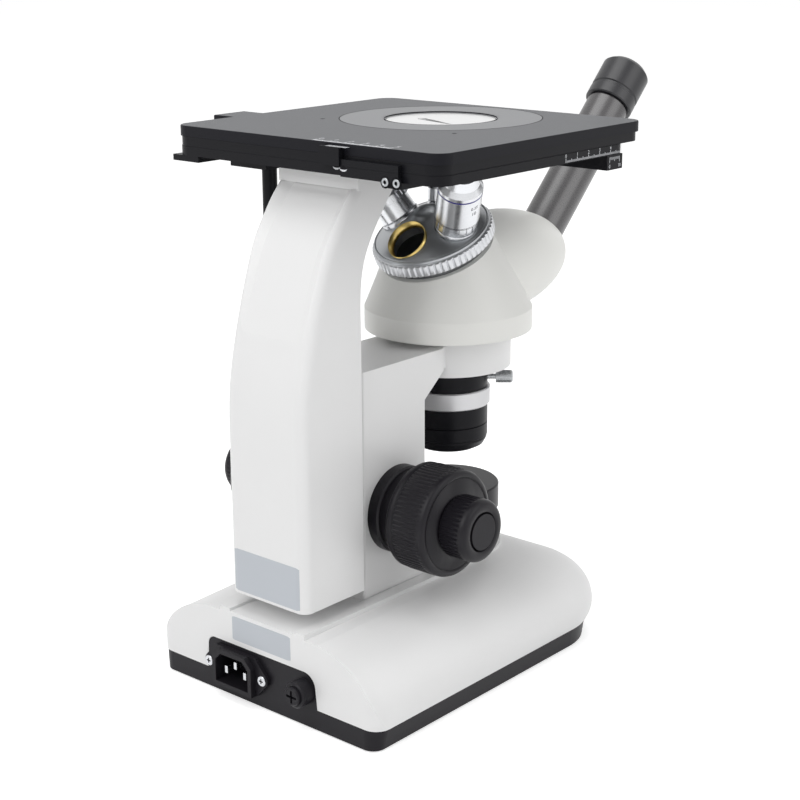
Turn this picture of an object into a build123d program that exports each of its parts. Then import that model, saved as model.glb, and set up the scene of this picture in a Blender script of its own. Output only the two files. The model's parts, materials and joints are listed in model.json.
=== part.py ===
"""Inverted reflected-light microscope, monocular, with a two-layer mechanical stage.

The origin is under the middle of the base, +Z is up, the observer and the eyepiece are at -Y,
and the mains inlet is at +Y. All sizes are millimetres.
"""

from build123d import *
from math import cos, radians, sin, sqrt, tan
import os

os.makedirs("parts", exist_ok=True)

# Clearances
run_gap = 0.05  # radial, shaft in bore
slide_gap = 0.1  # beside guided flats
air_gap = 0.5  # beside a piece that only has to miss
fit_gap = 0.15  # around a piece set into an opening

# Base
base_half = 81.0  # half width at the rim of the housing
base_back = 103.0  # flat back wall
base_front = 105.3  # distance from the origin to the front rim
rim_z = 12.0  # joint between tray and housing
corner_r = 41.0  # front corners of the housing in plan
back_corner_r = 8.8
shoulder_rise = 36.3  # from the rim to the top of the shoulder
front_crown = 1.0  # how much higher the shoulder is at the front
base_wall = 3.0
tray_bottom = 0.8
tray_inset = 0.7
tray_taper = 1.6
tray_floor = 2.2
deck_z = 49.5
ridge_top = 51.0
ridge_half = 31.0
channel_half = 23.5
foot_r = 9.0
foot_height = 3.2

# Optical axis and specimen
axis_y = -50.0
stage_top = 297.0
disc_recess = 1.0
parfocal = 45.0

# Focus block and head ring
block_half = 23.0
block_back = 47.7
block_front = -3.0
block_top = 176.5
nose_y = -19.0
nose_bottom = 164.7
corbel_bottom = 151.8
ring_r = 35.6
ring_bottom = 158.7
ring_top = 180.0
ring_bore = 20.0

# Focus drive
knob_y = 21.0
knob_z = 96.0
tooth_module = 0.6
pinion_teeth = 20
coarse_r = 29.0
coarse_width = 25.5
fine_r = 17.0
fine_width = 17.7
shaft_r = 5.0
fine_shaft_r = 2.5
flange_r = 24.0
flange_width = 7.0
hub_width = 9.0
tension_width = 14.0

# Arm
arm_half = 27.5
arm_front = 53.2
arm_back = 98.0
arm_bottom = 59.0
arm_edge_r = 5.5
arm_head = 272.2  # underside of the square top that carries the stage
arm_head_back = 54.0
scoop_half = 19.0  # flat floor of the scoop in the back of the arm

# Stage
plate_x = 183.5
plate_y = 171.1
plate_corner = 9.0
plate_back = 67.7
top_thick = 5.6
mid_thick = 4.9
low_thick = 4.9
low_length = 155.5
opening_r = 51.0
opening_y = -39.0
insert_r = 55.0
insert_y = -43.2
disc_r = 29.7
travel_x = 20.0
travel_back = 25.0
travel_front = 15.0
rod_x = 76.0
rod_y = 13.0
rod_r = 4.2
inner_rod_r = 2.0

# Nosepiece
turret_tilt = 25.0
seat_circle = 20.0
seat_rise = 7.5
turret_r = 33.0
grip_r = 34.5
grip_height = 8.0
seat_bore = 10.16

# Head
head_r = 47.3
head_disc = 12.0
neck_r = 30.0
neck_z = 210.4
seam_y = -87.0
dome_length = 64.0

# Eyepiece
tube_r = 13.0
tube_bore = 11.6
tube_length = 92.5
tube_root = (0.0, -138.6, 224.0)
tube_seat = 8.0  # how deep the tube stands in the prism housing
eyepiece_r = 15.0
eyepiece_length = 26.0

# Illuminator
collar_r = 22.6
iris_r = 24.0
barrel_r = 22.7
collar_height = 12.7
iris_height = 10.1
barrel_height = 25.0
stem_r = 18.0
stem_bore = 14.0
drum_r = 29.5
drum_bottom = 73.5
drum_top = 87.5
column_r = 23.0

# Back panel, inlet and fuse
panel_top = 30.8
panel_left = 41.8
panel_right = 39.4
panel_thick = 3.0
inlet_x = 17.9
inlet_z = 17.8
inlet_pitch = 40.0
fuse_x = -30.6
fuse_z = 20.4
fuse_r = 7.0

# Side controls
side_x = 72.5
side_half = 27.0
side_top = 31.0
dial_y = -14.0
switch_y = 12.0
control_z = 21.5
dial_r = 7.5
rocker_tilt = 7.0

# Flank of the base from rim to top, as shares of the shoulder's depth and rise; it swells at the front
back_flank = [(0, 0), (0.073, 0.275), (0.19, 0.512), (0.327, 0.686), (0.612, 0.887), (0.829, 0.967), (1, 1)]
front_flank = [
    (0, 0), (-0.076, 0.268), (-0.022, 0.509), (0.085, 0.673),
    (0.247, 0.812), (0.463, 0.92), (1, 1),
]


def spin(plane):
    """Axis of a turned piece."""
    return Axis(plane.origin, plane.z_dir)


def turned(plane, profile):
    """Face of a turned piece from (radius, height) points about the plane's own z axis."""
    side = Plane(origin=plane.origin, x_dir=plane.x_dir, z_dir=-plane.y_dir)
    with BuildSketch(side) as section:
        with BuildLine():
            Polyline(*profile, close=True)
        make_face()
    return section.sketch


def along(plane, distance):
    """The same plane moved along its own z axis."""
    return Plane(origin=plane.origin + plane.z_dir * distance, x_dir=plane.x_dir, z_dir=plane.z_dir)


def shoulder_section(plane, inner, rim, depth, rise, flank_curve):
    """Half section of the base from its inner line to the rounded flank."""
    with BuildSketch(plane) as section:
        with BuildLine():
            flank = Spline(*[(rim - depth * a, rim_z + rise * b) for a, b in flank_curve])
            core = [(inner, rim_z + rise), (inner, rim_z)]
            if rim - depth - inner > 0.01:
                core.insert(0, (rim - depth, rim_z + rise))
            Polyline(*core, flank @ 0)
        make_face()
    return section.sketch


def base_form(inset, back):
    """Shouldered body of the base, inset from the outer surface and flat at the back."""
    corner_x = base_half - corner_r
    corner_y = corner_r - base_front
    rim = base_half - inset
    depth = corner_r - inset
    rise = shoulder_rise - inset
    crest = rise + front_crown
    round_r = back_corner_r - inset
    turn_y = back - round_r
    with BuildPart() as form:
        back_end = shoulder_section(Plane.XZ.offset(-turn_y), 0, rim, depth, rise, back_flank)
        front_end = shoulder_section(Plane.XZ.offset(-corner_y), 0, rim, depth, crest, front_flank)
        extrude(back_end, amount=-round_r)
        loft([back_end, front_end], ruled=True)
        front = Plane(origin=(0, 0, 0), x_dir=(0, -1, 0), z_dir=(-1, 0, 0))
        extrude(
            shoulder_section(front, -corner_y, base_front - inset, depth, crest, front_flank),
            amount=-corner_x,
        )
        revolve(
            shoulder_section(Plane.XZ.offset(-corner_y), corner_x, rim, depth, crest, front_flank),
            axis=Axis((corner_x, corner_y, 0), (0, 0, -1)),
            revolution_arc=90,
        )
        with BuildSketch(Plane.XY.offset(rim_z - 1)):
            with Locations((rim - round_r / 2 + 1, back - round_r / 2 + 1)):
                Rectangle(round_r + 2, round_r + 2)
            with Locations((rim - round_r, turn_y)):
                Circle(round_r, mode=Mode.SUBTRACT)
        extrude(amount=shoulder_rise + 4, mode=Mode.SUBTRACT)
        mirror(about=Plane.YZ)
    return form.part


def plan_outline(plane, half, back, front, back_radius, front_radius):
    """Plan of the base, rounder at the front corners than at the back ones."""
    with BuildSketch(plane) as outline:
        with Locations((0, (back - front) / 2)):
            Rectangle(2 * half, back + front)
        fillet(outline.vertices().group_by(Axis.Y)[-1], back_radius)
        fillet(outline.vertices().group_by(Axis.Y)[0], front_radius)
    return outline.sketch


def tongue_outline(plane, bottom, grow):
    """Outline of the black back panel, also used for its notch in the housing."""
    with BuildSketch(plane) as outline:
        with BuildLine():
            Polyline(
                (panel_left + grow, bottom),
                (panel_left - 1 + grow, panel_top + grow),
                (-panel_right + 2 - grow, panel_top + grow),
                (-panel_right - grow, bottom),
                close=True,
            )
        make_face()
        upper = outline.vertices().group_by(Axis.Y)[-1].sort_by(Axis.X)
        fillet(upper[0], 8)
        fillet(outline.vertices().group_by(Axis.Y)[-1].sort_by(Axis.X)[-1], 5)
    return outline.sketch


# Base

outer_form = base_form(0, base_back)
inner_form = base_form(base_wall, base_back - base_wall)
back_plane = Plane(origin=(0, base_back, 0), x_dir=(1, 0, 0), z_dir=(0, -1, 0))

with BuildPart() as base_housing:
    add(outer_form)
    with BuildSketch(Plane.XY.offset(deck_z)) as deck:
        with Locations((0, (base_back + axis_y) / 2)):
            Rectangle(2 * ridge_half, base_back - axis_y)
        with Locations((0, axis_y)):
            Circle(ridge_half)
    extrude(amount=-deck_z + rim_z + shoulder_rise - base_wall / 2)
    with BuildSketch(Plane.XY.offset(ridge_top)):
        with Locations((0, (base_back + axis_y) / 2)):
            Rectangle(2 * ridge_half, base_back - axis_y)
        with Locations((0, axis_y)):
            Circle(ridge_half)
        with Locations((0, (base_back + axis_y) / 2)):
            Rectangle(2 * channel_half, base_back - axis_y, mode=Mode.SUBTRACT)
        with Locations((0, axis_y)):
            Circle(channel_half, mode=Mode.SUBTRACT)
    extrude(amount=-ridge_top + deck_z - base_wall / 4)
    extrude(tongue_outline(back_plane, rim_z - 1, fit_gap), amount=base_wall + 1, mode=Mode.SUBTRACT)
    add(inner_form, mode=Mode.SUBTRACT)
    with BuildSketch(Plane.YZ.offset(side_x)):
        with Locations((0, rim_z + (side_top - rim_z) / 2 - 1)):
            Rectangle(2 * side_half, side_top - rim_z + 2)
        fillet(vertices().group_by(Axis.Y)[-1], 4)
    extrude(amount=12, mode=Mode.SUBTRACT)
    with BuildSketch(Plane.XY.offset(rim_z + shoulder_rise - 12)):
        with Locations((0, axis_y)):
            Circle(ridge_half)
            Circle(ridge_half - base_wall, mode=Mode.SUBTRACT)
    extrude(amount=11)
    with BuildSketch(Plane.XY.offset(deck_z)):
        with Locations((0, axis_y)):
            Circle(column_r - 4)
    extrude(amount=-20, mode=Mode.SUBTRACT)
base_housing.part.label = "base_housing"
export_step(base_housing.part, "parts/base_housing.step")

tray_half = base_half - tray_inset
tray_wall_half = tray_half - tray_taper - 2.2
tray_front = base_front - tray_inset
tray_floor_z = tray_bottom + tray_floor

with BuildPart() as base_tray:
    low = plan_outline(
        Plane.XY.offset(tray_bottom),
        tray_half - tray_taper,
        base_back,
        tray_front - tray_taper,
        back_corner_r - tray_taper,
        corner_r - tray_inset - tray_taper,
    )
    high = plan_outline(
        Plane.XY.offset(rim_z), tray_half, base_back, tray_front, back_corner_r, corner_r - tray_inset
    )
    loft([low, high], ruled=True)
    extrude(
        plan_outline(
            Plane.XY.offset(tray_floor_z),
            tray_wall_half,
            base_back - panel_thick,
            tray_front - tray_taper - 2.2,
            5,
            corner_r - 5,
        ),
        amount=rim_z,
        mode=Mode.SUBTRACT,
    )
    panel_plane = Plane(origin=(0, base_back, 0), x_dir=(1, 0, 0), z_dir=(0, -1, 0))
    extrude(tongue_outline(panel_plane, rim_z - 2, 0), amount=panel_thick)
    with BuildSketch(panel_plane):
        with Locations((inlet_x, inlet_z)):
            Rectangle(28.4, 20.4)
        with Locations((inlet_x - inlet_pitch / 2, inlet_z), (inlet_x + inlet_pitch / 2, inlet_z)):
            Circle(1.55)
        with Locations((fuse_x, fuse_z)):
            Circle(fuse_r - 0.9)
    extrude(amount=panel_thick + 8, mode=Mode.SUBTRACT)
    with BuildSketch(Plane.XY.offset(tray_bottom)):
        with Locations((60, -76), (-60, -76), (66, 88), (-66, 88)):
            Circle(foot_r + fit_gap)
    extrude(amount=1.2, mode=Mode.SUBTRACT)
    with BuildSketch(Plane.YZ.offset(side_x - panel_thick)):
        with Locations((0, (tray_floor_z + side_top) / 2)):
            Rectangle(2 * side_half - 2 * fit_gap, side_top - tray_floor_z - 2 * fit_gap)
        fillet(vertices().group_by(Axis.Y)[-1], 4)
        with Locations((switch_y, control_z)):
            Rectangle(19.2, 13.2, mode=Mode.SUBTRACT)
        with Locations((dial_y, control_z)):
            Circle(3 + run_gap, mode=Mode.SUBTRACT)
    extrude(amount=panel_thick)
    with BuildSketch(Plane.XY.offset(tray_floor_z - 0.5)):
        with Locations((side_x - panel_thick / 2, 0)):
            Rectangle(panel_thick, 2 * side_half - 2 * fit_gap)
    extrude(amount=1.5)
base_tray.part.label = "base_tray"
export_step(base_tray.part, "parts/base_tray.step")

dial_plane = Plane(origin=(side_x, dial_y, control_z), x_dir=(0, 1, 0), z_dir=(1, 0, 0))
with BuildPart() as dimmer_dial:
    revolve(
        turned(
            dial_plane,
            [(0, -9), (3, -9), (3, 0.3), (dial_r, 0.3), (dial_r, 6.2), (dial_r - 0.8, 7), (0, 7)],
        ),
        axis=spin(dial_plane),
    )
    with BuildSketch(along(dial_plane, 1.2)):
        with PolarLocations(dial_r, 20):
            Circle(0.6)
    extrude(amount=6, mode=Mode.SUBTRACT)
dimmer_dial.part.label = "dimmer_dial"
export_step(dimmer_dial.part, "parts/dimmer_dial.step")

with BuildPart() as switch_frame:
    with BuildSketch(Plane.YZ.offset(side_x)):
        with Locations((switch_y, control_z)):
            RectangleRounded(21.4, 15.4, 1)
            Rectangle(17, 11, mode=Mode.SUBTRACT)
    extrude(amount=1.8)
    with BuildSketch(Plane.YZ.offset(side_x)):
        with Locations((switch_y, control_z)):
            Rectangle(19, 13)
            Rectangle(17, 11, mode=Mode.SUBTRACT)
    extrude(amount=-11)
    with BuildSketch(Plane.YZ.offset(side_x - 11)):
        with Locations((switch_y, control_z)):
            Rectangle(19, 13)
    extrude(amount=-2)
    with BuildSketch(Plane.XY.offset(control_z - 6)):
        with Locations((side_x - 1, switch_y)):
            Circle(1)
    extrude(amount=12)
switch_frame.part.label = "switch_frame"
export_step(switch_frame.part, "parts/switch_frame.step")

with BuildPart() as switch_rocker:
    rocker_plane = Plane(
        origin=(side_x - 1, switch_y, control_z - 5),
        x_dir=(cos(radians(rocker_tilt)), -sin(radians(rocker_tilt)), 0),
        z_dir=(0, 0, 1),
    )
    with BuildSketch(rocker_plane):
        with BuildLine():
            Polyline(
                (-4, -2.5), (-0.6, -8.1), (2.4, -8), (1.6, 0),
                (2.4, 8), (-0.6, 8.1), (-4, 2.5),
                close=True,
            )
        make_face()
        Circle(1 + run_gap, mode=Mode.SUBTRACT)
    extrude(amount=10)
switch_rocker.part.label = "switch_rocker"
export_step(switch_rocker.part, "parts/switch_rocker.step")

with BuildPart() as rubber_feet:
    with BuildSketch():
        with Locations((60, -76), (-60, -76), (66, 88), (-66, 88)):
            Circle(foot_r)
    extrude(amount=tray_bottom + 1.2)
    chamfer(edges().filter_by(GeomType.CIRCLE).group_by(Axis.Z)[0], 0.3)
rubber_feet.part.label = "rubber_feet"
export_step(rubber_feet.part, "parts/rubber_feet.step")

# Mains inlet and fuse, both set into the back panel

inlet_plane = Plane(origin=(inlet_x, base_back, inlet_z), x_dir=(-1, 0, 0), z_dir=(0, 1, 0))


def socket_outline(plane, width, height, bevel):
    """Rectangle with its two upper corners cut off."""
    with BuildSketch(plane) as outline:
        Rectangle(width, height)
        chamfer(outline.vertices().group_by(Axis.Y)[-1], bevel)
    return outline.sketch


with BuildPart() as power_inlet:
    with BuildSketch(inlet_plane):
        Rectangle(30, 21.5)
        with Locations((inlet_pitch / 2, 0), (-inlet_pitch / 2, 0)):
            Circle(3.7)
        make_hull()
        with Locations((inlet_pitch / 2, 0), (-inlet_pitch / 2, 0)):
            Circle(1.6, mode=Mode.SUBTRACT)
    extrude(amount=2.4)
    extrude(socket_outline(along(inlet_plane, 2.4), 29.4, 21.2, 5), amount=3.4)
    with BuildSketch(inlet_plane):
        Rectangle(28, 20)
    extrude(amount=-15)
    extrude(socket_outline(along(inlet_plane, 5.8), 24.4, 16.4, 4), amount=-17.5, mode=Mode.SUBTRACT)
power_inlet.part.label = "power_inlet"
export_step(power_inlet.part, "parts/power_inlet.step")

with BuildPart() as inlet_pins:
    with BuildSketch(along(inlet_plane, -11.7)):
        with Locations((-7, -1.5), (7, -1.5), (0, 2.5)):
            Rectangle(2, 4)
    extrude(amount=14.5)
inlet_pins.part.label = "inlet_pins"
export_step(inlet_pins.part, "parts/inlet_pins.step")

with BuildPart() as inlet_screws:
    with BuildSketch(along(inlet_plane, 2.4)):
        with Locations((inlet_pitch / 2, 0), (-inlet_pitch / 2, 0)):
            Circle(2.9)
    extrude(amount=1.1)
    fillet(edges().filter_by(GeomType.CIRCLE).group_by(Axis.Y)[-1], 0.5)
    with BuildSketch(along(inlet_plane, 2.4)):
        with Locations((inlet_pitch / 2, 0), (-inlet_pitch / 2, 0)):
            Circle(1.5)
    extrude(amount=-2.4 - panel_thick - 2)
inlet_screws.part.label = "inlet_screws"
export_step(inlet_screws.part, "parts/inlet_screws.step")

fuse_plane = Plane(origin=(fuse_x, base_back, fuse_z), x_dir=(-1, 0, 0), z_dir=(0, 1, 0))
with BuildPart() as fuse_holder:
    revolve(
        turned(
            fuse_plane,
            [
                (0, -30), (6, -30), (6, 0), (fuse_r, 0), (fuse_r, 7.2), (fuse_r - 0.8, 8),
                (5.2, 8), (5.2, 1), (2.65, 1), (2.65, -28), (0, -28),
            ],
        ),
        axis=spin(fuse_plane),
    )
fuse_holder.part.label = "fuse_holder"
export_step(fuse_holder.part, "parts/fuse_holder.step")

with BuildPart() as fuse_cap:
    revolve(
        turned(fuse_plane, [(0, 1.2), (5.1, 1.2), (5.1, 9.2), (4.5, 9.9), (0, 9.9)]), axis=spin(fuse_plane)
    )
    with BuildSketch(along(fuse_plane, 9.9)):
        Rectangle(7, 1.3)
        Rectangle(1.3, 7)
    extrude(amount=-1.8, mode=Mode.SUBTRACT)
fuse_cap.part.label = "fuse_cap"
export_step(fuse_cap.part, "parts/fuse_cap.step")

with BuildPart() as fuse:
    revolve(turned(fuse_plane, [(0, -28), (2.6, -28), (2.6, -8), (0, -8)]), axis=spin(fuse_plane))
fuse.part.label = "fuse"
export_step(fuse.part, "parts/fuse.step")

# Power supply and lamp

with BuildPart() as transformer:
    with BuildSketch(Plane.XY.offset(tray_floor_z)):
        with Locations((-36, 22)):
            Rectangle(52, 34)
    extrude(amount=28)
    with BuildSketch(Plane.XY.offset(tray_floor_z + 4)):
        with Locations((-36, 22)):
            Rectangle(34, 48)
    extrude(amount=20)
transformer.part.label = "transformer"
export_step(transformer.part, "parts/transformer.step")

with BuildPart() as circuit_board:
    with BuildSketch(Plane.XY.offset(tray_floor_z + 4)):
        with Locations((28, 30)):
            Rectangle(50, 60)
    extrude(amount=1.6)
    with BuildSketch(Plane.XY.offset(tray_floor_z)):
        with Locations((28, 30)):
            with GridLocations(42, 52, 2, 2):
                Circle(2.5)
    extrude(amount=4)
    with BuildSketch(Plane.XY.offset(tray_floor_z + 5.6)):
        with Locations((20, 40), (36, 40)):
            Circle(5)
        with Locations((28, 14)):
            Rectangle(24, 12)
    extrude(amount=12)
circuit_board.part.label = "circuit_board"
export_step(circuit_board.part, "parts/circuit_board.step")

lamp_plane = Plane(origin=(0, axis_y, 0))
with BuildPart() as lamp_socket:
    revolve(
        turned(
            lamp_plane,
            [
                (0, tray_floor_z), (16, tray_floor_z), (16, tray_floor_z + 3),
                (9, tray_floor_z + 3), (9, deck_z), (0, deck_z),
            ],
        ),
        axis=spin(lamp_plane),
    )
lamp_socket.part.label = "lamp_socket"
export_step(lamp_socket.part, "parts/lamp_socket.step")

with BuildPart() as halogen_bulb:
    with BuildSketch(Plane.XZ.offset(-axis_y)):
        with BuildLine():
            Polyline((0, deck_z + 19.5), (0, deck_z), (5.5, deck_z), (5.5, deck_z + 14))
            Spline((5.5, deck_z + 14), (3.9, deck_z + 17.9), (0, deck_z + 19.5), tangents=[(0, 1), (-1, 0)])
        make_face()
    revolve(axis=spin(lamp_plane))
halogen_bulb.part.label = "halogen_bulb"
export_step(halogen_bulb.part, "parts/halogen_bulb.step")

lens_seat = drum_top - 6
with BuildPart() as collector_housing:
    revolve(
        turned(
            lamp_plane,
            [
                (column_r - 5, deck_z),
                (column_r, deck_z),
                (column_r, drum_bottom),
                (drum_r, drum_bottom),
                (drum_r, drum_top - 0.8),
                (drum_r - 0.8, drum_top),
                (15 + fit_gap, drum_top),
                (15 + fit_gap, lens_seat),
                (12.5, lens_seat),
                (12.5, lens_seat - 2.5),
                (column_r - 5, lens_seat - 2.5),
            ],
        ),
        axis=spin(lamp_plane),
    )
    with BuildSketch(Plane.XY.offset(drum_top)):
        with Locations((0, axis_y)):
            with PolarLocations(22.2, 1, start_angle=-60):
                SlotOverall(8, 2.4, rotation=90)
    extrude(amount=-2, mode=Mode.SUBTRACT)
    with BuildSketch(Plane.XZ.offset(-axis_y - column_r - 2)):
        with GridLocations(7, 0, 5, 1):
            with Locations((0, (deck_z + drum_bottom) / 2)):
                SlotOverall(16, 2.6, rotation=90)
    extrude(amount=2 * column_r + 4, mode=Mode.SUBTRACT)
collector_housing.part.label = "collector_housing"
export_step(collector_housing.part, "parts/collector_housing.step")

with BuildPart() as field_lens:
    with BuildSketch(Plane.XZ.offset(-axis_y)):
        with BuildLine():
            Polyline((0, lens_seat + 4.4), (0, lens_seat), (15, lens_seat), (15, lens_seat + 1.4))
            Spline(
                (15, lens_seat + 1.4), (8, lens_seat + 3.6), (0, lens_seat + 4.4),
                tangents=[(-0.9, 0.6), (-1, 0)],
            )
        make_face()
    revolve(axis=spin(lamp_plane))
field_lens.part.label = "field_lens"
export_step(field_lens.part, "parts/field_lens.step")

# Focus block, with the dovetail groove for the slide and the bore of the knobs

pitch_r = tooth_module * pinion_teeth / 2
rack_y = knob_y + pitch_r  # pitch plane of the focus rack
bar_front = 40.9
groove_half = 12.0
groove_mouth = 9.0
groove_bottom = 40.7 - slide_gap
slide_low = 76.0
slide_high = 150.0
focus_down = 4.0
focus_up = 8.0
rack_half = 3.5
rack_low = knob_z - focus_up - 10
rack_high = knob_z + focus_down + 10

with BuildPart() as focus_block:
    with BuildSketch(Plane.YZ.offset(-block_half)):
        with BuildLine():
            Polyline(
                (block_back, deck_z),
                (block_back, block_top),
                (nose_y, block_top),
                (nose_y, nose_bottom),
                (block_front, corbel_bottom),
                (block_front, deck_z),
                close=True,
            )
        make_face()
    extrude(amount=2 * block_half)
    fillet(edges().filter_by(Axis.Z), 1.5)
    with BuildSketch(Plane.XY.offset(ring_bottom)):
        with Locations((0, axis_y)):
            Circle(ring_r)
    extrude(amount=ring_top - ring_bottom)
    with BuildSketch(Plane.XY.offset(nose_bottom)):
        with Locations((0, (axis_y + nose_y) / 2 + 1)):
            Rectangle(2 * block_half - 3, nose_y - axis_y + 2)
    extrude(amount=block_top - nose_bottom)
    with BuildSketch(Plane.XY.offset(ring_bottom - 1)):
        with Locations((0, axis_y)):
            Circle(ring_bore)
    extrude(amount=ring_top - ring_bottom + 2, mode=Mode.SUBTRACT)
    with BuildSketch(Plane.XY.offset(slide_low - focus_down - 4)):
        with BuildLine():
            Polyline(
                (-groove_mouth, block_back + 1),
                (-groove_mouth, block_back),
                (-groove_half, groove_bottom),
                (groove_half, groove_bottom),
                (groove_mouth, block_back),
                (groove_mouth, block_back + 1),
                close=True,
            )
        make_face()
    extrude(amount=slide_high - slide_low + focus_down + focus_up + 8, mode=Mode.SUBTRACT)
    with BuildSketch(Plane.XY.offset(rack_low - focus_down - 2)):
        with Locations((0, (knob_y + groove_bottom) / 2)):
            Rectangle(2 * rack_half + 2 * air_gap, groove_bottom - knob_y + 0.2)
    extrude(amount=rack_high - rack_low + focus_down + focus_up + 4, mode=Mode.SUBTRACT)
    knob_plane = Plane(origin=(0, knob_y, knob_z), x_dir=(0, 1, 0), z_dir=(1, 0, 0))
    with BuildSketch(along(knob_plane, -rack_half - air_gap)):
        Circle(pitch_r + 2 * tooth_module + air_gap)
    extrude(amount=2 * rack_half + 2 * air_gap, mode=Mode.SUBTRACT)
    with BuildSketch(along(knob_plane, -block_half - 1)):
        Circle(shaft_r + air_gap)
    extrude(amount=2 * block_half + 2, mode=Mode.SUBTRACT)
    with BuildSketch(along(knob_plane, -block_half), along(knob_plane, block_half - 10)):
        Circle(8)
    extrude(amount=10, mode=Mode.SUBTRACT)
focus_block.part.label = "focus_block"
export_step(focus_block.part, "parts/focus_block.step")

with BuildPart() as shaft_bushes:
    with BuildSketch(along(knob_plane, -block_half), along(knob_plane, block_half - 10)):
        Circle(8)
        Circle(shaft_r + run_gap, mode=Mode.SUBTRACT)
    extrude(amount=10)
shaft_bushes.part.label = "shaft_bushes"
export_step(shaft_bushes.part, "parts/shaft_bushes.step")


def rack_outline(plane, length, pitch_line, back, module, phase):
    """Straight rack in the plane's own axes: teeth point to -y, the bar runs along x."""
    pitch = 3.14159265 * module
    points = []
    count = int(length / pitch / 2) + 1
    for index in range(-count, count + 1):
        middle = index * pitch + phase
        for step, tip in ((-0.42, 0), (-0.16, 1), (0.16, 1), (0.42, 0)):
            where = middle + step * pitch
            if abs(where) < length / 2:
                points.append((where, pitch_line - module * 0.8 if tip else pitch_line + module * 1.2))
    with BuildSketch(plane) as outline:
        with BuildLine():
            Polyline(
                (-length / 2, back),
                (-length / 2, pitch_line + module * 1.2),
                *points,
                (length / 2, pitch_line + module * 1.2),
                (length / 2, back),
                close=True,
            )
        make_face()
    return outline.sketch


def pinion_outline(plane, module, teeth, phase):
    """Gear outline with straight-sided teeth; phase is the angle of the first tooth in degrees."""
    radius = module * teeth / 2
    points = []
    for index in range(teeth):
        for step, height in ((-0.27, -1.2), (-0.12, 0.8), (0.12, 0.8), (0.27, -1.2)):
            angle = radians(phase + (index + step) * 360 / teeth)
            points.append(((radius + height * module) * cos(angle), (radius + height * module) * sin(angle)))
    with BuildSketch(plane) as outline:
        with BuildLine():
            Polyline(*points, close=True)
        make_face()
    return outline.sketch


half_tooth = 180 / pinion_teeth
rack_mid = (rack_low + rack_high) / 2
with BuildPart() as focus_slide:
    with BuildSketch(Plane.XY.offset(slide_low)):
        with BuildLine():
            Polyline(
                (-groove_mouth + slide_gap, arm_front),
                (-groove_mouth + slide_gap, block_back - 0.2),
                (-groove_half + 2 * slide_gap, bar_front),
                (groove_half - 2 * slide_gap, bar_front),
                (groove_mouth - slide_gap, block_back - 0.2),
                (groove_mouth - slide_gap, arm_front),
                close=True,
            )
        make_face()
    extrude(amount=slide_high - slide_low)
    extrude(
        rack_outline(
            Plane(origin=(rack_half, 0, rack_mid), x_dir=(0, 0, -1), z_dir=(1, 0, 0)),
            rack_high - rack_low,
            rack_y,
            bar_front + 1,
            tooth_module,
            rack_mid - knob_z + tooth_module * 3.14159265 / 2,
        ),
        amount=-2 * rack_half,
    )
focus_slide.part.label = "focus_slide"
export_step(focus_slide.part, "parts/focus_slide.step")

# Coaxial focus knobs; the tension collar sits behind the right coarse knob

left_start = block_half + flange_width + hub_width
right_start = block_half + flange_width + tension_width + hub_width
left_end = left_start + coarse_width
right_end = right_start + coarse_width


def knob_profile(start, width, radius, bore, ring):
    """Turned knob from its inner face outwards, with a plain ring before the outer face."""
    return [
        (bore, start),
        (radius - 2, start),
        (radius, start + 2),
        (radius, start + width - ring),
        (radius - 0.8, start + width - ring),
        (radius - 0.8, start + width - 2.4),
        (radius - 3.2, start + width),
        (bore, start + width),
    ]


left_plane = Plane(origin=(0, knob_y, knob_z), x_dir=(0, 1, 0), z_dir=(-1, 0, 0))

with BuildPart() as knob_flange:
    for side_plane in (left_plane, knob_plane):
        revolve(
            turned(
                side_plane,
                [
                    (shaft_r + air_gap, block_half),
                    (flange_r, block_half),
                    (flange_r, block_half + flange_width - 1),
                    (flange_r - 1, block_half + flange_width),
                    (shaft_r + air_gap, block_half + flange_width),
                ],
            ),
            axis=spin(side_plane),
        )
knob_flange.part.label = "knob_flange"
export_step(knob_flange.part, "parts/knob_flange.step")

with BuildPart() as coarse_shaft:
    with BuildSketch(along(knob_plane, -left_start - 8)):
        Circle(shaft_r)
    extrude(amount=left_start + right_start + 16)
    extrude(
        pinion_outline(along(knob_plane, -rack_half + 0.3), tooth_module, pinion_teeth, 0),
        amount=2 * rack_half - 0.6,
    )
    with BuildSketch(along(knob_plane, -left_start - 9)):
        Circle(fine_shaft_r + run_gap)
    extrude(amount=left_start + right_start + 18, mode=Mode.SUBTRACT)
coarse_shaft.part.label = "coarse_shaft"
export_step(coarse_shaft.part, "parts/coarse_shaft.step")

with BuildPart() as coarse_knob_left:
    left_section = knob_profile(left_start, coarse_width, coarse_r, shaft_r, 5)
    revolve(turned(left_plane, left_section), axis=spin(left_plane))
    revolve(
        turned(
            left_plane,
            [
                (shaft_r, block_half + flange_width + 0.3),
                (flange_r - 1, block_half + flange_width + 0.3),
                (flange_r - 1, left_start + 0.5),
                (shaft_r, left_start + 0.5),
            ],
        ),
        axis=spin(left_plane),
    )
    with BuildSketch(along(left_plane, left_start + 1.5)):
        with PolarLocations(coarse_r + 0.2, 36):
            Rectangle(1.6, 2.4)
    extrude(amount=coarse_width - 6.5, mode=Mode.SUBTRACT)
    with BuildSketch(along(left_plane, left_end)):
        Circle(fine_r + 5.6)
        Circle(fine_r + 4.8, mode=Mode.SUBTRACT)
    extrude(amount=-0.8, mode=Mode.SUBTRACT)
coarse_knob_left.part.label = "coarse_knob_left"
export_step(coarse_knob_left.part, "parts/coarse_knob_left.step")

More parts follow.
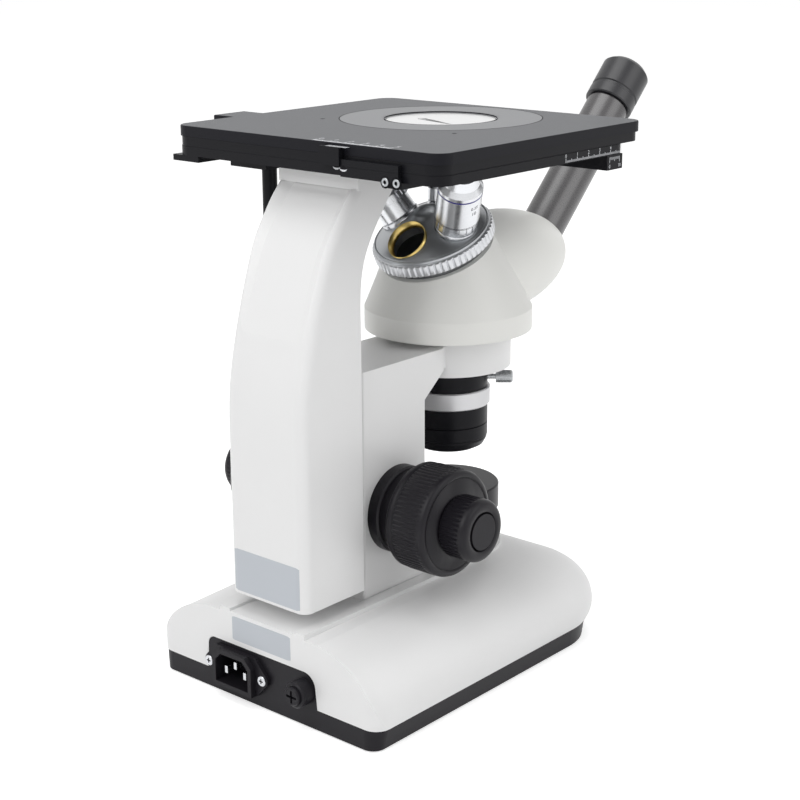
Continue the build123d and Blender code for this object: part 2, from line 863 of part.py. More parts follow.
with BuildPart() as coarse_knob_right:
    right_section = knob_profile(right_start, coarse_width, coarse_r, shaft_r, 5)
    revolve(turned(knob_plane, right_section), axis=spin(knob_plane))
    revolve(
        turned(
            knob_plane,
            [
                (shaft_r, block_half + flange_width + tension_width + 0.6),
                (flange_r - 1, block_half + flange_width + tension_width + 0.6),
                (flange_r - 1, right_start + 0.5),
                (shaft_r, right_start + 0.5),
            ],
        ),
        axis=spin(knob_plane),
    )
    with BuildSketch(along(knob_plane, right_start + 1.5)):
        with PolarLocations(coarse_r + 0.2, 36):
            Rectangle(1.6, 2.4)
    extrude(amount=coarse_width - 6.5, mode=Mode.SUBTRACT)
coarse_knob_right.part.label = "coarse_knob_right"
export_step(coarse_knob_right.part, "parts/coarse_knob_right.step")

with BuildPart() as tension_collar:
    revolve(
        turned(
            knob_plane,
            [
                (shaft_r + run_gap, block_half + flange_width + 0.3),
                (flange_r, block_half + flange_width + 0.3),
                (flange_r, block_half + flange_width + tension_width),
                (shaft_r + run_gap, block_half + flange_width + tension_width),
            ],
        ),
        axis=spin(knob_plane),
    )
    with BuildSketch(along(knob_plane, block_half + flange_width + 1.3)):
        with PolarLocations(flange_r, 24):
            Rectangle(1.4, 1.6)
    extrude(amount=tension_width, mode=Mode.SUBTRACT)
tension_collar.part.label = "tension_collar"
export_step(tension_collar.part, "parts/tension_collar.step")

with BuildPart() as fine_shaft:
    with BuildSketch(along(knob_plane, -left_end - 12)):
        Circle(fine_shaft_r)
    extrude(amount=left_end + right_end + 24)
fine_shaft.part.label = "fine_shaft"
export_step(fine_shaft.part, "parts/fine_shaft.step")


def fine_knob_face(plane, start):
    """Section of a fine knob with a recess for its end cap."""
    return turned(
        plane,
        [
            (fine_shaft_r, start),
            (fine_r - 0.6, start),
            (fine_r, start + 1),
            (fine_r, start + fine_width - 3.4),
            (fine_r - 0.7, start + fine_width - 3.4),
            (fine_r - 0.7, start + fine_width - 1.6),
            (fine_r - 2.4, start + fine_width),
            (9.9, start + fine_width),
            (9.9, start + fine_width - 1.6),
            (fine_shaft_r, start + fine_width - 1.6),
        ],
    )


with BuildPart() as fine_knobs:
    revolve(fine_knob_face(left_plane, left_end + 0.4), axis=spin(left_plane))
    with BuildSketch(along(left_plane, left_end + 2)):
        with PolarLocations(fine_r + 0.1, 28):
            Rectangle(1.2, 1.6)
    extrude(amount=fine_width - 6, mode=Mode.SUBTRACT)
    revolve(fine_knob_face(knob_plane, right_end + 0.4), axis=spin(knob_plane))
    with BuildSketch(along(knob_plane, right_end + 2)):
        with PolarLocations(fine_r + 0.1, 28):
            Rectangle(1.2, 1.6)
    extrude(amount=fine_width - 6, mode=Mode.SUBTRACT)
fine_knobs.part.label = "fine_knobs"
export_step(fine_knobs.part, "parts/fine_knobs.step")

with BuildPart() as knob_caps:
    with BuildSketch(
        along(left_plane, left_end + fine_width - 1.2),
        along(knob_plane, right_end + fine_width - 1.2),
    ):
        Circle(9.7)
    extrude(amount=1.4)
knob_caps.part.label = "knob_caps"
export_step(knob_caps.part, "parts/knob_caps.step")

# Arm

low_bottom = stage_top - top_thick - 0.1 - mid_thick - 0.1 - low_thick
mid_bottom = low_bottom + low_thick + 0.1
top_bottom = mid_bottom + mid_thick + 0.1

# How far the back of the arm and the floor of its scoop stand in from the lower back, by height
arm_profile = [
    (41.1, 6.4, arm_head),
    (35.0, 5.5, 265.2),
    (28.9, 4.3, 256.5),
    (22.6, 3.0, 246.5),
    (17.9, 2.1, 235.1),
    (11.6, 1.0, 216.3),
    (5.9, -0.4, 195.3),
    (1.4, -1.0, 172.5),
]


def scoop_outline(offset, depth):
    """Side view of the scoop, at one distance from the middle of the arm."""
    low_z = arm_profile[-2][2]
    with BuildSketch(Plane.YZ.offset(offset)) as outline:
        with BuildLine():
            floor = Spline(*[
                (arm_back - inset - depth * sink - (depth - 1) * 0.6, z)
                for inset, sink, z in arm_profile[:-1]
            ])
            Polyline(floor @ 1, (arm_back + 6, low_z), (arm_back + 6, arm_head), floor @ 0)
        make_face()
    return outline.sketch


with BuildPart() as arm:
    with BuildSketch(Plane.YZ.offset(-arm_half)):
        with BuildLine():
            back_line = Line((arm_back, arm_bottom), (arm_back, 135))
            back_curve = Spline(
                back_line @ 1,
                *[(arm_back - inset, z) for inset, sink, z in reversed(arm_profile)],
                tangents=[(0, 1), (-0.66, 0.75)],
            )
            Line(back_curve @ 1, (arm_front - 26.9, arm_head))
            front_curve = Spline(
                (arm_front - 26.9, arm_head),
                (arm_front - 13.0, 254),
                (arm_front - 2.7, 235),
                (arm_front, 216),
                (arm_front, 205),
            )
            Polyline(front_curve @ 1, (arm_front, arm_bottom), (arm_back, arm_bottom))
        make_face()
    extrude(amount=2 * arm_half)
    rear = edges().filter_by(
        lambda e: e.center().Y > arm_head_back + 6 and abs(abs(e.center().X) - arm_half) < 0.01
    )
    fillet(rear.filter_by(lambda e: arm_bottom + 5 < e.center().Z < arm_head - 1), arm_edge_r)
    with BuildSketch(Plane.YZ.offset(-arm_half)):
        with BuildLine():
            Polyline(
                (arm_head_back, arm_head),
                (arm_head_back, low_bottom),
                (arm_front - 31.9, low_bottom),
                (arm_front - 26.9, arm_head),
                close=True,
            )
        make_face()
    extrude(amount=2 * arm_half)
    extrude(scoop_outline(-scoop_half, 1), amount=2 * scoop_half, mode=Mode.SUBTRACT)
    for side in (-1, 1):
        inner_wall = scoop_outline(side * scoop_half, 1)
        outer_wall = scoop_outline(side * (arm_half - 1.2), 0)
        loft([inner_wall, outer_wall], ruled=True, mode=Mode.SUBTRACT)
arm.part.label = "arm"
export_step(arm.part, "parts/arm.step")

# Stage: carrier plate on the arm, then the plate that moves to and fro, then the one that moves across


def plate_outline(plane, half_x, back, length, radius):
    """Stage plate seen from above, square to the arm."""
    with BuildSketch(plane) as outline:
        with Locations((0, back - length / 2)):
            Rectangle(2 * half_x, length)
        fillet(outline.vertices(), radius)
    return outline.sketch


y_rack_x = rod_x - pitch_r
case_front = 1.5
case_back = 24.4
case_x = 79.7
case_out = 94.8

with BuildPart() as stage_carrier:
    extrude(
        plate_outline(Plane.XY.offset(low_bottom), plate_x / 2 - 0.6, plate_back, low_length, plate_corner),
        amount=low_thick,
    )
    with BuildSketch(Plane.XY.offset(low_bottom - 1)):
        with Locations((0, opening_y)):
            Circle(opening_r)
    extrude(amount=low_thick + 2, mode=Mode.SUBTRACT)
    with BuildSketch(Plane.XY.offset(low_bottom - 1)):
        with Locations(
            ((y_rack_x - 3.2 + 110) / 2, (case_front - travel_front + case_back + travel_back) / 2)
        ):
            Rectangle(110 - y_rack_x + 3.2, case_back - case_front + travel_front + travel_back + 2)
    extrude(amount=low_thick + 2, mode=Mode.SUBTRACT)
    with BuildSketch(Plane.XY.offset(low_bottom)):
        with Locations((-71, -76)):
            Rectangle(41, 14)
    extrude(amount=-7.8)
    with BuildSketch(Plane.XY.offset(low_bottom)):
        with Locations((83.1, 59.7)):
            Rectangle(19.5, 16)
        with Locations((-61.7, 60)):
            Rectangle(12.4, 15.4)
    extrude(amount=-3.2)
    with BuildSketch(Plane.XY.offset(low_bottom + low_thick)):
        with Locations((15, 45), (-15, 45), (15, 30), (-15, 30)):
            Circle(4.2)
    extrude(amount=-2.4, mode=Mode.SUBTRACT)
    with BuildSketch(Plane.XY.offset(low_bottom + low_thick)):
        with Locations((15, 45), (-15, 45), (15, 30), (-15, 30)):
            Circle(2.2)
    extrude(amount=-low_thick - 1, mode=Mode.SUBTRACT)
    with BuildSketch(Plane.XY.offset(low_bottom)):
        with Locations((-49.5, plate_back + 1.4)):
            Rectangle(37, 2.8)
    extrude(amount=low_thick)
    extrude(
        rack_outline(
            Plane(origin=(0, rod_y + (travel_back - travel_front) / 2, low_bottom + 0.3), x_dir=(0, 1, 0)),
            case_back - case_front + travel_back + travel_front,
            -y_rack_x,
            -y_rack_x + 3.7,
            tooth_module,
            -(travel_back - travel_front) / 2 + tooth_module * 3.14159265 / 2,
        ),
        amount=low_thick - 0.6,
    )
stage_carrier.part.label = "stage_carrier"
export_step(stage_carrier.part, "parts/stage_carrier.step")

with BuildPart() as stage_screws:
    with BuildSketch(Plane.XY.offset(low_bottom + low_thick - 2.4)):
        with Locations((15, 45), (-15, 45), (15, 30), (-15, 30)):
            Circle(4.1)
    extrude(amount=2.2)
    with BuildSketch(Plane.XY.offset(low_bottom + low_thick - 2.4)):
        with Locations((15, 45), (-15, 45), (15, 30), (-15, 30)):
            Circle(2.1)
    extrude(amount=-low_thick + 2.4)
stage_screws.part.label = "stage_screws"
export_step(stage_screws.part, "parts/stage_screws.step")

with BuildPart() as stage_middle:
    extrude(
        plate_outline(Plane.XY.offset(mid_bottom), plate_x / 2 - 1, plate_back, plate_y - 1, plate_corner),
        amount=mid_thick,
    )
    with BuildSketch(Plane.XY.offset(mid_bottom - 1)):
        with Locations((0, opening_y)):
            Circle(opening_r)
    extrude(amount=mid_thick + 2, mode=Mode.SUBTRACT)
    with BuildSketch(Plane.XY.offset(mid_bottom - 1)):
        with Locations(((rod_x - 2 * travel_x - 10 + 100) / 2, rod_y + pitch_r / 2 - 0.5)):
            Rectangle(100 - rod_x + 2 * travel_x + 10, 2 * pitch_r + 8)
    extrude(amount=mid_thick + 2, mode=Mode.SUBTRACT)
    with BuildSketch(Plane.XY.offset(mid_bottom)):
        with Locations((-49.5, plate_back + 1.4)):
            Rectangle(37, 2.8)
    extrude(amount=3.4)
    with BuildSketch(Plane.XY.offset(mid_bottom)):
        with Locations((-24.5, plate_back + 1.9)):
            Rectangle(13, 3.8)
    extrude(amount=9.2)
stage_middle.part.label = "stage_middle"
export_step(stage_middle.part, "parts/stage_middle.step")

with BuildPart() as drive_case:
    with BuildSketch(Plane.XY.offset(low_bottom - 11.4)):
        with Locations(((rod_x - 9 + case_out) / 2, (case_front + case_back) / 2)):
            Rectangle(case_out - rod_x + 9, case_back - case_front)
    extrude(amount=11)
    with BuildSketch(Plane.XY.offset(low_bottom - 0.4)):
        with Locations(((case_x + 5 + case_out) / 2, (case_front + case_back) / 2)):
            Rectangle(case_out - case_x - 5, case_back - case_front)
    extrude(amount=mid_bottom - low_bottom + 0.4)
    with BuildSketch(Plane.XY.offset(low_bottom - 12)):
        with Locations((rod_x, rod_y)):
            Circle(rod_r + run_gap)
    extrude(amount=12, mode=Mode.SUBTRACT)
drive_case.part.label = "drive_case"
export_step(drive_case.part, "parts/drive_case.step")

rod_plane = Plane(origin=(rod_x, rod_y, 0))
upper_knob_z = 190.0
lower_knob_z = 170.0
with BuildPart() as y_drive:
    with BuildSketch(along(rod_plane, upper_knob_z)):
        Circle(rod_r)
        Circle(inner_rod_r + run_gap, mode=Mode.SUBTRACT)
    extrude(amount=mid_bottom - 0.4 - upper_knob_z)
    with BuildSketch(along(rod_plane, upper_knob_z)):
        Circle(12)
        Circle(inner_rod_r + run_gap, mode=Mode.SUBTRACT)
    extrude(amount=15)
    with BuildSketch(along(rod_plane, upper_knob_z + 1.5)):
        with PolarLocations(12, 24):
            Rectangle(1, 1.4)
    extrude(amount=12, mode=Mode.SUBTRACT)
    extrude(
        pinion_outline(along(rod_plane, low_bottom + 0.6), tooth_module, pinion_teeth, 0),
        amount=low_thick - 1,
    )
    with BuildSketch(along(rod_plane, upper_knob_z - 1)):
        Circle(inner_rod_r + run_gap)
    extrude(amount=mid_bottom - upper_knob_z + 2, mode=Mode.SUBTRACT)
y_drive.part.label = "y_drive"
export_step(y_drive.part, "parts/y_drive.step")

with BuildPart() as x_drive:
    with BuildSketch(along(rod_plane, lower_knob_z)):
        Circle(inner_rod_r)
    extrude(amount=top_bottom - 0.6 - lower_knob_z)
    with BuildSketch(along(rod_plane, lower_knob_z)):
        Circle(11)
    extrude(amount=17)
    with BuildSketch(along(rod_plane, lower_knob_z + 1.5)):
        with PolarLocations(11, 22):
            Rectangle(1, 1.4)
    extrude(amount=14, mode=Mode.SUBTRACT)
    extrude(
        pinion_outline(along(rod_plane, mid_bottom + 0.4), tooth_module, pinion_teeth, 0),
        amount=mid_thick - 1,
    )
x_drive.part.label = "x_drive"
export_step(x_drive.part, "parts/x_drive.step")

with BuildPart() as stage_top_plate:
    extrude(
        plate_outline(Plane.XY.offset(top_bottom), plate_x / 2, plate_back, plate_y, plate_corner),
        amount=top_thick,
    )
    with BuildSketch(Plane.XY.offset(top_bottom)):
        with Locations((plate_x / 2 + 7, (case_front + case_back) / 2)):
            Rectangle(14.4 + 2, case_back - case_front)
    extrude(amount=top_thick)
    with BuildSketch(Plane.XY.offset(stage_top)):
        with Locations((0, insert_y)):
            Circle(insert_r + fit_gap)
    extrude(amount=-3.4, mode=Mode.SUBTRACT)
    with BuildSketch(Plane.XY.offset(stage_top)):
        with Locations((0, insert_y)):
            Circle(insert_r - 4)
    extrude(amount=-top_thick, mode=Mode.SUBTRACT)
    fillet(faces().sort_by(Axis.Z)[-1].outer_wire().edges(), 0.6)
stage_top_plate.part.label = "stage_top_plate"
export_step(stage_top_plate.part, "parts/stage_top_plate.step")

x_rack_y = rod_y + pitch_r
with BuildPart() as x_rack:
    extrude(
        rack_outline(
            Plane(origin=(rod_x, 0, top_bottom - mid_thick + 0.4)),
            2 * travel_x + 18,
            x_rack_y,
            x_rack_y + 3.2,
            tooth_module,
            tooth_module * 3.14159265 / 2,
        ),
        amount=mid_thick - 0.4,
    )
x_rack.part.label = "x_rack"
export_step(x_rack.part, "parts/x_rack.step")

insert_plane = Plane(origin=(0, insert_y, 0))
with BuildPart() as stage_insert:
    revolve(
        turned(
            insert_plane,
            [
                (disc_r - 3, stage_top - 3.4),
                (insert_r, stage_top - 3.4),
                (insert_r, stage_top),
                (disc_r + 2.6, stage_top),
                (disc_r + fit_gap, stage_top - disc_recess),
                (disc_r + fit_gap, stage_top - disc_recess - 1.4),
                (disc_r - 3, stage_top - disc_recess - 1.4),
            ],
        ),
        axis=spin(insert_plane),
    )
stage_insert.part.label = "stage_insert"
export_step(stage_insert.part, "parts/stage_insert.step")

with BuildPart() as specimen_disc:
    with BuildSketch(Plane.XY.offset(stage_top - disc_recess - 1.4)):
        with Locations((0, insert_y)):
            Circle(disc_r)
        with BuildLine():
            keyhole = Polyline(
                (10.5, -42.8), (13, -39), (10, -36.4), (-17.5, -29.4), (-18.2, -30.4), close=True,
            )
        make_face(mode=Mode.SUBTRACT)
    extrude(amount=1.4)
specimen_disc.part.label = "specimen_disc"
export_step(specimen_disc.part, "parts/specimen_disc.step")

# Nosepiece: the working seat stands upright on the optical axis

tilt = radians(turret_tilt)
shoulder_z = stage_top - disc_recess + 0.5 - parfocal
lean = Vector(0, sin(tilt), cos(tilt))
reach = Vector(0, -cos(tilt), sin(tilt))
turret_centre = Vector(0, axis_y, shoulder_z) - reach * seat_circle - lean * seat_rise
turret_plane = Plane(origin=turret_centre, x_dir=(1, 0, 0), z_dir=lean)
cone_top = (turret_r - 9) * tan(tilt)


def seat_plane(angle):
    """Plane of a nosepiece seat, angle in degrees from the working position."""
    out = reach * cos(radians(angle)) + Vector(1, 0, 0) * sin(radians(angle))
    side = lean.cross(out)
    return Plane(
        origin=turret_centre + out * seat_circle + lean * seat_rise,
        x_dir=side,
        z_dir=lean * cos(tilt) + out * sin(tilt),
    )


with BuildPart() as nosepiece_base:
    revolve(
        turned(
            turret_plane,
            [
                (0, -12.4),
                (29, -12.4),
                (29, -grip_height - 0.3),
                (4, -grip_height - 0.3),
                (4, cone_top + 0.3),
                (6, cone_top + 0.3),
                (6, cone_top + 2),
                (5, cone_top + 2.6),
                (0, cone_top + 2.6),
            ],
        ),
        axis=spin(turret_plane),
    )
    with BuildSketch(Plane.XY.offset(shoulder_z - 30)):
        with Locations((0, axis_y)):
            Circle(8)
    extrude(amount=30, mode=Mode.SUBTRACT)
nosepiece_base.part.label = "nosepiece_base"
export_step(nosepiece_base.part, "parts/nosepiece_base.step")

with BuildPart() as turret:
    revolve(
        turned(
            turret_plane,
            [
                (4 + run_gap, 2),
                (turret_r - 3.5, -4),
                (turret_r - 3.5, 0),
                (turret_r, 0),
                (9, cone_top),
                (4 + run_gap, cone_top),
            ],
        ),
        axis=spin(turret_plane),
    )
    for angle in (0, 90, 180, 270):
        with BuildSketch(along(seat_plane(angle), -2.2)):
            Circle(12.4)
        extrude(amount=2.2)
    for angle in (0, 90, 180, 270):
        with BuildSketch(along(seat_plane(angle), 2)):
            Circle(seat_bore + 0.55)
        extrude(amount=-16, mode=Mode.SUBTRACT)
turret.part.label = "turret"
export_step(turret.part, "parts/turret.step")

with BuildPart() as grip_ring:
    revolve(
        turned(
            turret_plane,
            [
                (turret_r - 3.4, -grip_height),
                (grip_r - 0.8, -grip_height),
                (grip_r, -grip_height + 0.8),
                (grip_r, -0.8),
                (grip_r - 0.8, -0.05),
                (turret_r - 3.4, -0.05),
            ],
        ),
        axis=spin(turret_plane),
    )
    with BuildSketch(along(turret_plane, -grip_height)):
        with PolarLocations(grip_r + 0.1, 40):
            Rectangle(1.4, 1.6)
    extrude(amount=grip_height - 1.4, mode=Mode.SUBTRACT)
grip_ring.part.label = "grip_ring"
export_step(grip_ring.part, "parts/grip_ring.step")

with BuildPart() as seat_rings:
    for angle in (0, 90, 180, 270):
        with BuildSketch(along(seat_plane(angle), -5)):
            Circle(seat_bore + 0.5)
            Circle(seat_bore, mode=Mode.SUBTRACT)
        extrude(amount=5)
seat_rings.part.label = "seat_rings"
export_step(seat_rings.part, "parts/seat_rings.step")

# Objectives: the shoulder of each one rests on its seat

scan_plane = seat_plane(0)
with BuildPart() as objective_c:
    revolve(
        turned(
            scan_plane,
            [
                (5, -4.6), (seat_bore - 0.1, -4.6), (seat_bore - 0.1, 0), (10.8, 0), (11.4, 0.6), (11.4, 7), (9.4, 8.4),
                (9.4, 22), (7.4, 25), (7.4, 33), (5.6, 36.8), (3.5, 36.8), (3.5, 30), (5, 28),
            ],
        ),
        axis=spin(scan_plane),
    )
objective_c.part.label = "objective_c"
export_step(objective_c.part, "parts/objective_c.step")

large_plane = seat_plane(270)
with BuildPart() as objective_a:
    revolve(
        turned(
            large_plane,
            [
                (5, -4.6), (seat_bore - 0.1, -4.6), (seat_bore - 0.1, 0), (11.2, 0), (11.9, 0.8), (11.9, 7.2), (12.2, 7.6),
                (12.2, 28.4), (10, 31.4), (8.4, 36.4), (5, 36.4), (5, 32), (5, 28),
            ],
        ),
        axis=spin(large_plane),
    )
    with BuildSketch(along(large_plane, 1.6)):
        with PolarLocations(12.2, 18):
            Rectangle(1.4, 1.2)
    extrude(amount=4.6, mode=Mode.SUBTRACT)
objective_a.part.label = "objective_a"
export_step(objective_a.part, "parts/objective_a.step")

short_plane = seat_plane(90)
with BuildPart() as objective_b:
    revolve(
        turned(
            short_plane,
            [
                (5, -4.6), (seat_bore - 0.1, -4.6), (seat_bore - 0.1, 0), (10.6, 0), (10.8, 0.6), (10.8, 9), (12.6, 9.4), (12.6, 13.4),
                (10.8, 13.8), (10.8, 22), (8.4, 25), (7.4, 28.6), (4.4, 28.6), (4.4, 24), (5, 20),
            ],
        ),
        axis=spin(short_plane),
    )
    with BuildSketch(along(short_plane, 9.8)):
        with PolarLocations(12.7, 24):
            Rectangle(1.2, 1.2)
    extrude(amount=3.2, mode=Mode.SUBTRACT)
objective_b.part.label = "objective_b"
export_step(objective_b.part, "parts/objective_b.step")

with BuildPart() as front_lenses:
    with BuildSketch(along(scan_plane, 34.6)):
        Circle(3.5)
    extrude(amount=1.8)
    with BuildSketch(along(large_plane, 34)):
        Circle(5)
    extrude(amount=2)
    with BuildSketch(along(short_plane, 26.2)):
        Circle(4.4)
    extrude(amount=2)
front_lenses.part.label = "front_lenses"
export_step(front_lenses.part, "parts/front_lenses.step")

# Head: round foot on the ring, tilted seat for the nosepiece, level neck towards the prism cap

head_plane = along(turret_plane, -12.4)
seam_plane = Plane(origin=(0, seam_y, neck_z), x_dir=(1, 0, 0), z_dir=(0, -1, 0))
splitter_z = neck_z - 10

with BuildPart() as head_body:
    with BuildSketch(Plane.XY.offset(ring_top)):
        with Locations((0, axis_y)):
            Circle(head_r)
    extrude(amount=head_disc)
    with BuildSketch(Plane.XY.offset(ring_top + head_disc)) as foot_edge:
        with Locations((0, axis_y)):
            Circle(head_r)
    with BuildSketch(head_plane) as seat_edge:
        Circle(turret_r - 1)
    loft()
    with BuildSketch(Plane(origin=(0, axis_y, neck_z), x_dir=(1, 0, 0), z_dir=(0, -1, 0))):
        Circle(neck_r)
    extrude(amount=axis_y - seam_y)
    with BuildSketch(Plane.XY.offset(ring_top)):
        with Locations((0, axis_y)):
            Circle(9)
    extrude(amount=60, mode=Mode.SUBTRACT)
    with BuildSketch(Plane.XY.offset(splitter_z)):
        with Locations((0, axis_y)):
            Circle(15)
    extrude(amount=28, mode=Mode.SUBTRACT)
    with BuildSketch(seam_plane):
        Circle(12)
    extrude(amount=seam_y - axis_y, mode=Mode.SUBTRACT)
    with BuildSketch(head_plane):
        Circle(grip_r + 1)
    extrude(amount=30, mode=Mode.SUBTRACT)
    with BuildSketch(Plane.XY.offset(ring_top)):
        with Locations((0, axis_y)):
            Circle(head_r + 10)
    extrude(amount=-10, mode=Mode.SUBTRACT)
head_body.part.label = "head_body"
export_step(head_body.part, "parts/head_body.step")

with BuildPart() as beam_splitter:
    with BuildSketch(Plane.XY.offset(splitter_z)):
        with Locations((0, axis_y)):
            Rectangle(20, 20)
    extrude(amount=20)
    chamfer(edges().filter_by(Axis.Z), 0.5)
beam_splitter.part.label = "beam_splitter"
export_step(beam_splitter.part, "parts/beam_splitter.step")

eye_dir = Vector(0, -sqrt(0.5), sqrt(0.5))
eye_plane = Plane(origin=tube_root, x_dir=(1, 0, 0), z_dir=eye_dir)

with BuildPart() as prism_housing:
    with BuildSketch(Plane.YZ):
        with BuildLine():
            lower = Spline(
                (seam_y, neck_z - neck_r),
                (seam_y - 0.22 * dome_length, neck_z - 0.97 * neck_r),
                (seam_y - 0.62 * dome_length, neck_z - 0.77 * neck_r),
                (seam_y - 0.9 * dome_length, neck_z - 0.41 * neck_r),
                (seam_y - dome_length, neck_z),
            )
            Polyline(lower @ 1, (seam_y, neck_z), lower @ 0)
        make_face()
    revolve(axis=Axis((0, 0, neck_z), (0, 1, 0)))
    with BuildSketch(seam_plane):
        Rectangle(26.4, 26.4)
    extrude(amount=44.5, mode=Mode.SUBTRACT)
    with BuildSketch(along(eye_plane, 30)):
        Circle(tube_r)
    extrude(amount=-30 - tube_seat, mode=Mode.SUBTRACT)
    with BuildSketch(eye_plane):
        Circle(tube_bore - 1)
    extrude(amount=-20, mode=Mode.SUBTRACT)
    add(head_body.part, mode=Mode.SUBTRACT)
prism_housing.part.label = "prism_housing"
export_step(prism_housing.part, "parts/prism_housing.step")

with BuildPart() as prism:
    with BuildSketch(Plane.YZ.offset(-12)):
        with BuildLine():
            Polyline(
                (-130.5, neck_z - 12.5),
                (-108, neck_z - 12.5),
                (-108, neck_z - 6.5),
                (-130.5, neck_z + 2.8),
                close=True,
            )
        make_face()
    extrude(amount=24)
prism.part.label = "prism"
export_step(prism.part, "parts/prism.step")

with BuildPart() as eyepiece_tube:
    revolve(
        turned(
            eye_plane,
            [
                (tube_bore, -tube_seat), (tube_r, -tube_seat), (tube_r, tube_length - 0.8),
                (tube_r - 0.6, tube_length), (tube_bore, tube_length),
            ],
        ),
        axis=spin(eye_plane),
    )
eyepiece_tube.part.label = "eyepiece_tube"
export_step(eyepiece_tube.part, "parts/eyepiece_tube.step")

with BuildPart() as eyepiece:
    revolve(
        turned(
            eye_plane,
            [
                (9.8, tube_length - 32),
                (tube_bore - run_gap, tube_length - 32),
                (tube_bore - run_gap, tube_length + 0.1),
                (eyepiece_r - 0.6, tube_length + 0.1),
                (eyepiece_r, tube_length + 0.8),
                (eyepiece_r, tube_length + 7),
                (eyepiece_r - 0.7, tube_length + 7.6),
                (eyepiece_r - 0.7, tube_length + 9),
                (eyepiece_r, tube_length + 9.6),
                (eyepiece_r, tube_length + eyepiece_length),
                (eyepiece_r - 0.9, tube_length + eyepiece_length + 1.2),
                (eyepiece_r - 2.8, tube_length + eyepiece_length + 3),
                (11, tube_length + eyepiece_length + 3),
                (9.8, tube_length + eyepiece_length - 1),
            ],
        ),
        axis=spin(eye_plane),
    )
eyepiece.part.label = "eyepiece"
export_step(eyepiece.part, "parts/eyepiece.step")

with BuildPart() as eyepiece_lenses:
    with BuildSketch(along(eye_plane, tube_length + eyepiece_length - 6)):
        Circle(9.8)
    extrude(amount=4)
    with BuildSketch(along(eye_plane, tube_length - 30)):
        Circle(9.8)
    extrude(amount=4)
eyepiece_lenses.part.label = "eyepiece_lenses"
export_step(eyepiece_lenses.part, "parts/eyepiece_lenses.step")

# Illuminator under the ring

collar_bottom = ring_bottom - collar_height
iris_bottom = collar_bottom - 0.3 - iris_height
barrel_top = iris_bottom - 0.3
barrel_bottom = barrel_top - barrel_height

with BuildPart() as iris_collar:
    revolve(
        turned(
            lamp_plane,
            [
                (stem_bore, barrel_top),
                (stem_r, barrel_top),
                (stem_r, collar_bottom),
                (collar_r, collar_bottom),
                (collar_r, ring_bottom),
                (ring_bore, ring_bottom),
                (ring_bore, ring_bottom + 8),
                (stem_bore, ring_bottom + 8),
            ],
        ),
        axis=spin(lamp_plane),
    )
    thumb_dir = Vector(-0.77, -0.64, 0).normalized()
    thumb_plane = Plane(origin=(0, axis_y, ring_bottom - 8.7), x_dir=(0, 0, 1), z_dir=thumb_dir)
    with BuildSketch(along(thumb_plane, stem_bore - 2)):
        Circle(1.5 + run_gap)
    extrude(amount=14, mode=Mode.SUBTRACT)
iris_collar.part.label = "iris_collar"
export_step(iris_collar.part, "parts/iris_collar.step")

with BuildPart() as thumb_screw:
    revolve(
        turned(
            thumb_plane,
            [(0, 15), (1.5, 15), (1.5, 27.2), (3.65, 27.2), (3.65, 36), (3, 36.8), (0, 36.8)],
        ),
        axis=spin(thumb_plane),
    )
    with BuildSketch(along(thumb_plane, 28.2)):
        with PolarLocations(3.75, 16):
            Rectangle(0.7, 0.6)
    extrude(amount=7, mode=Mode.SUBTRACT)
thumb_screw.part.label = "thumb_screw"
export_step(thumb_screw.part, "parts/thumb_screw.step")

with BuildPart() as iris_ring:
    revolve(
        turned(
            lamp_plane,
            [
                (stem_r + run_gap, iris_bottom),
                (iris_r - 0.6, iris_bottom),
                (iris_r, iris_bottom + 0.6),
                (iris_r, iris_bottom + iris_height - 0.6),
                (iris_r - 0.6, iris_bottom + iris_height),
                (stem_r + run_gap, iris_bottom + iris_height),
            ],
        ),
        axis=spin(lamp_plane),
    )
iris_ring.part.label = "iris_ring"
export_step(iris_ring.part, "parts/iris_ring.step")

with BuildPart() as condenser_barrel:
    revolve(
        turned(
            lamp_plane,
            [
                (stem_bore, barrel_bottom + 12),
                (stem_bore, barrel_top),
                (barrel_r, barrel_top),
                (barrel_r, barrel_bottom + 14.6),
                (barrel_r - 0.5, barrel_bottom + 14.2),
                (barrel_r, barrel_bottom + 13.8),
                (barrel_r, barrel_bottom + 6.8),
                (barrel_r - 0.6, barrel_bottom + 6.2),
                (barrel_r - 0.4, barrel_bottom + 5),
                (barrel_r - 2.2, barrel_bottom + 1.6),
                (barrel_r - 5.2, barrel_bottom),
                (13, barrel_bottom),
                (13, barrel_bottom + 2),
                (15 + fit_gap, barrel_bottom + 2),
                (15 + fit_gap, barrel_bottom + 12),
            ],
        ),
        axis=spin(lamp_plane),
    )
condenser_barrel.part.label = "condenser_barrel"
export_step(condenser_barrel.part, "parts/condenser_barrel.step")

with BuildPart() as condenser_lens:
    revolve(
        turned(
            lamp_plane,
            [
                (0, barrel_bottom + 2), (15, barrel_bottom + 2), (15, barrel_bottom + 6),
                (8, barrel_bottom + 7.4), (0, barrel_bottom + 8),
            ],
        ),
        axis=spin(lamp_plane),
    )
condenser_lens.part.label = "condenser_lens"
export_step(condenser_lens.part, "parts/condenser_lens.step")
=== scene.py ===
"""Looks of an inverted reflected-light microscope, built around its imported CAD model. Metres, +Z up."""

import json
from math import cos, pi, radians, sin, sqrt

import bmesh
import bpy
from mathutils import Matrix, Vector


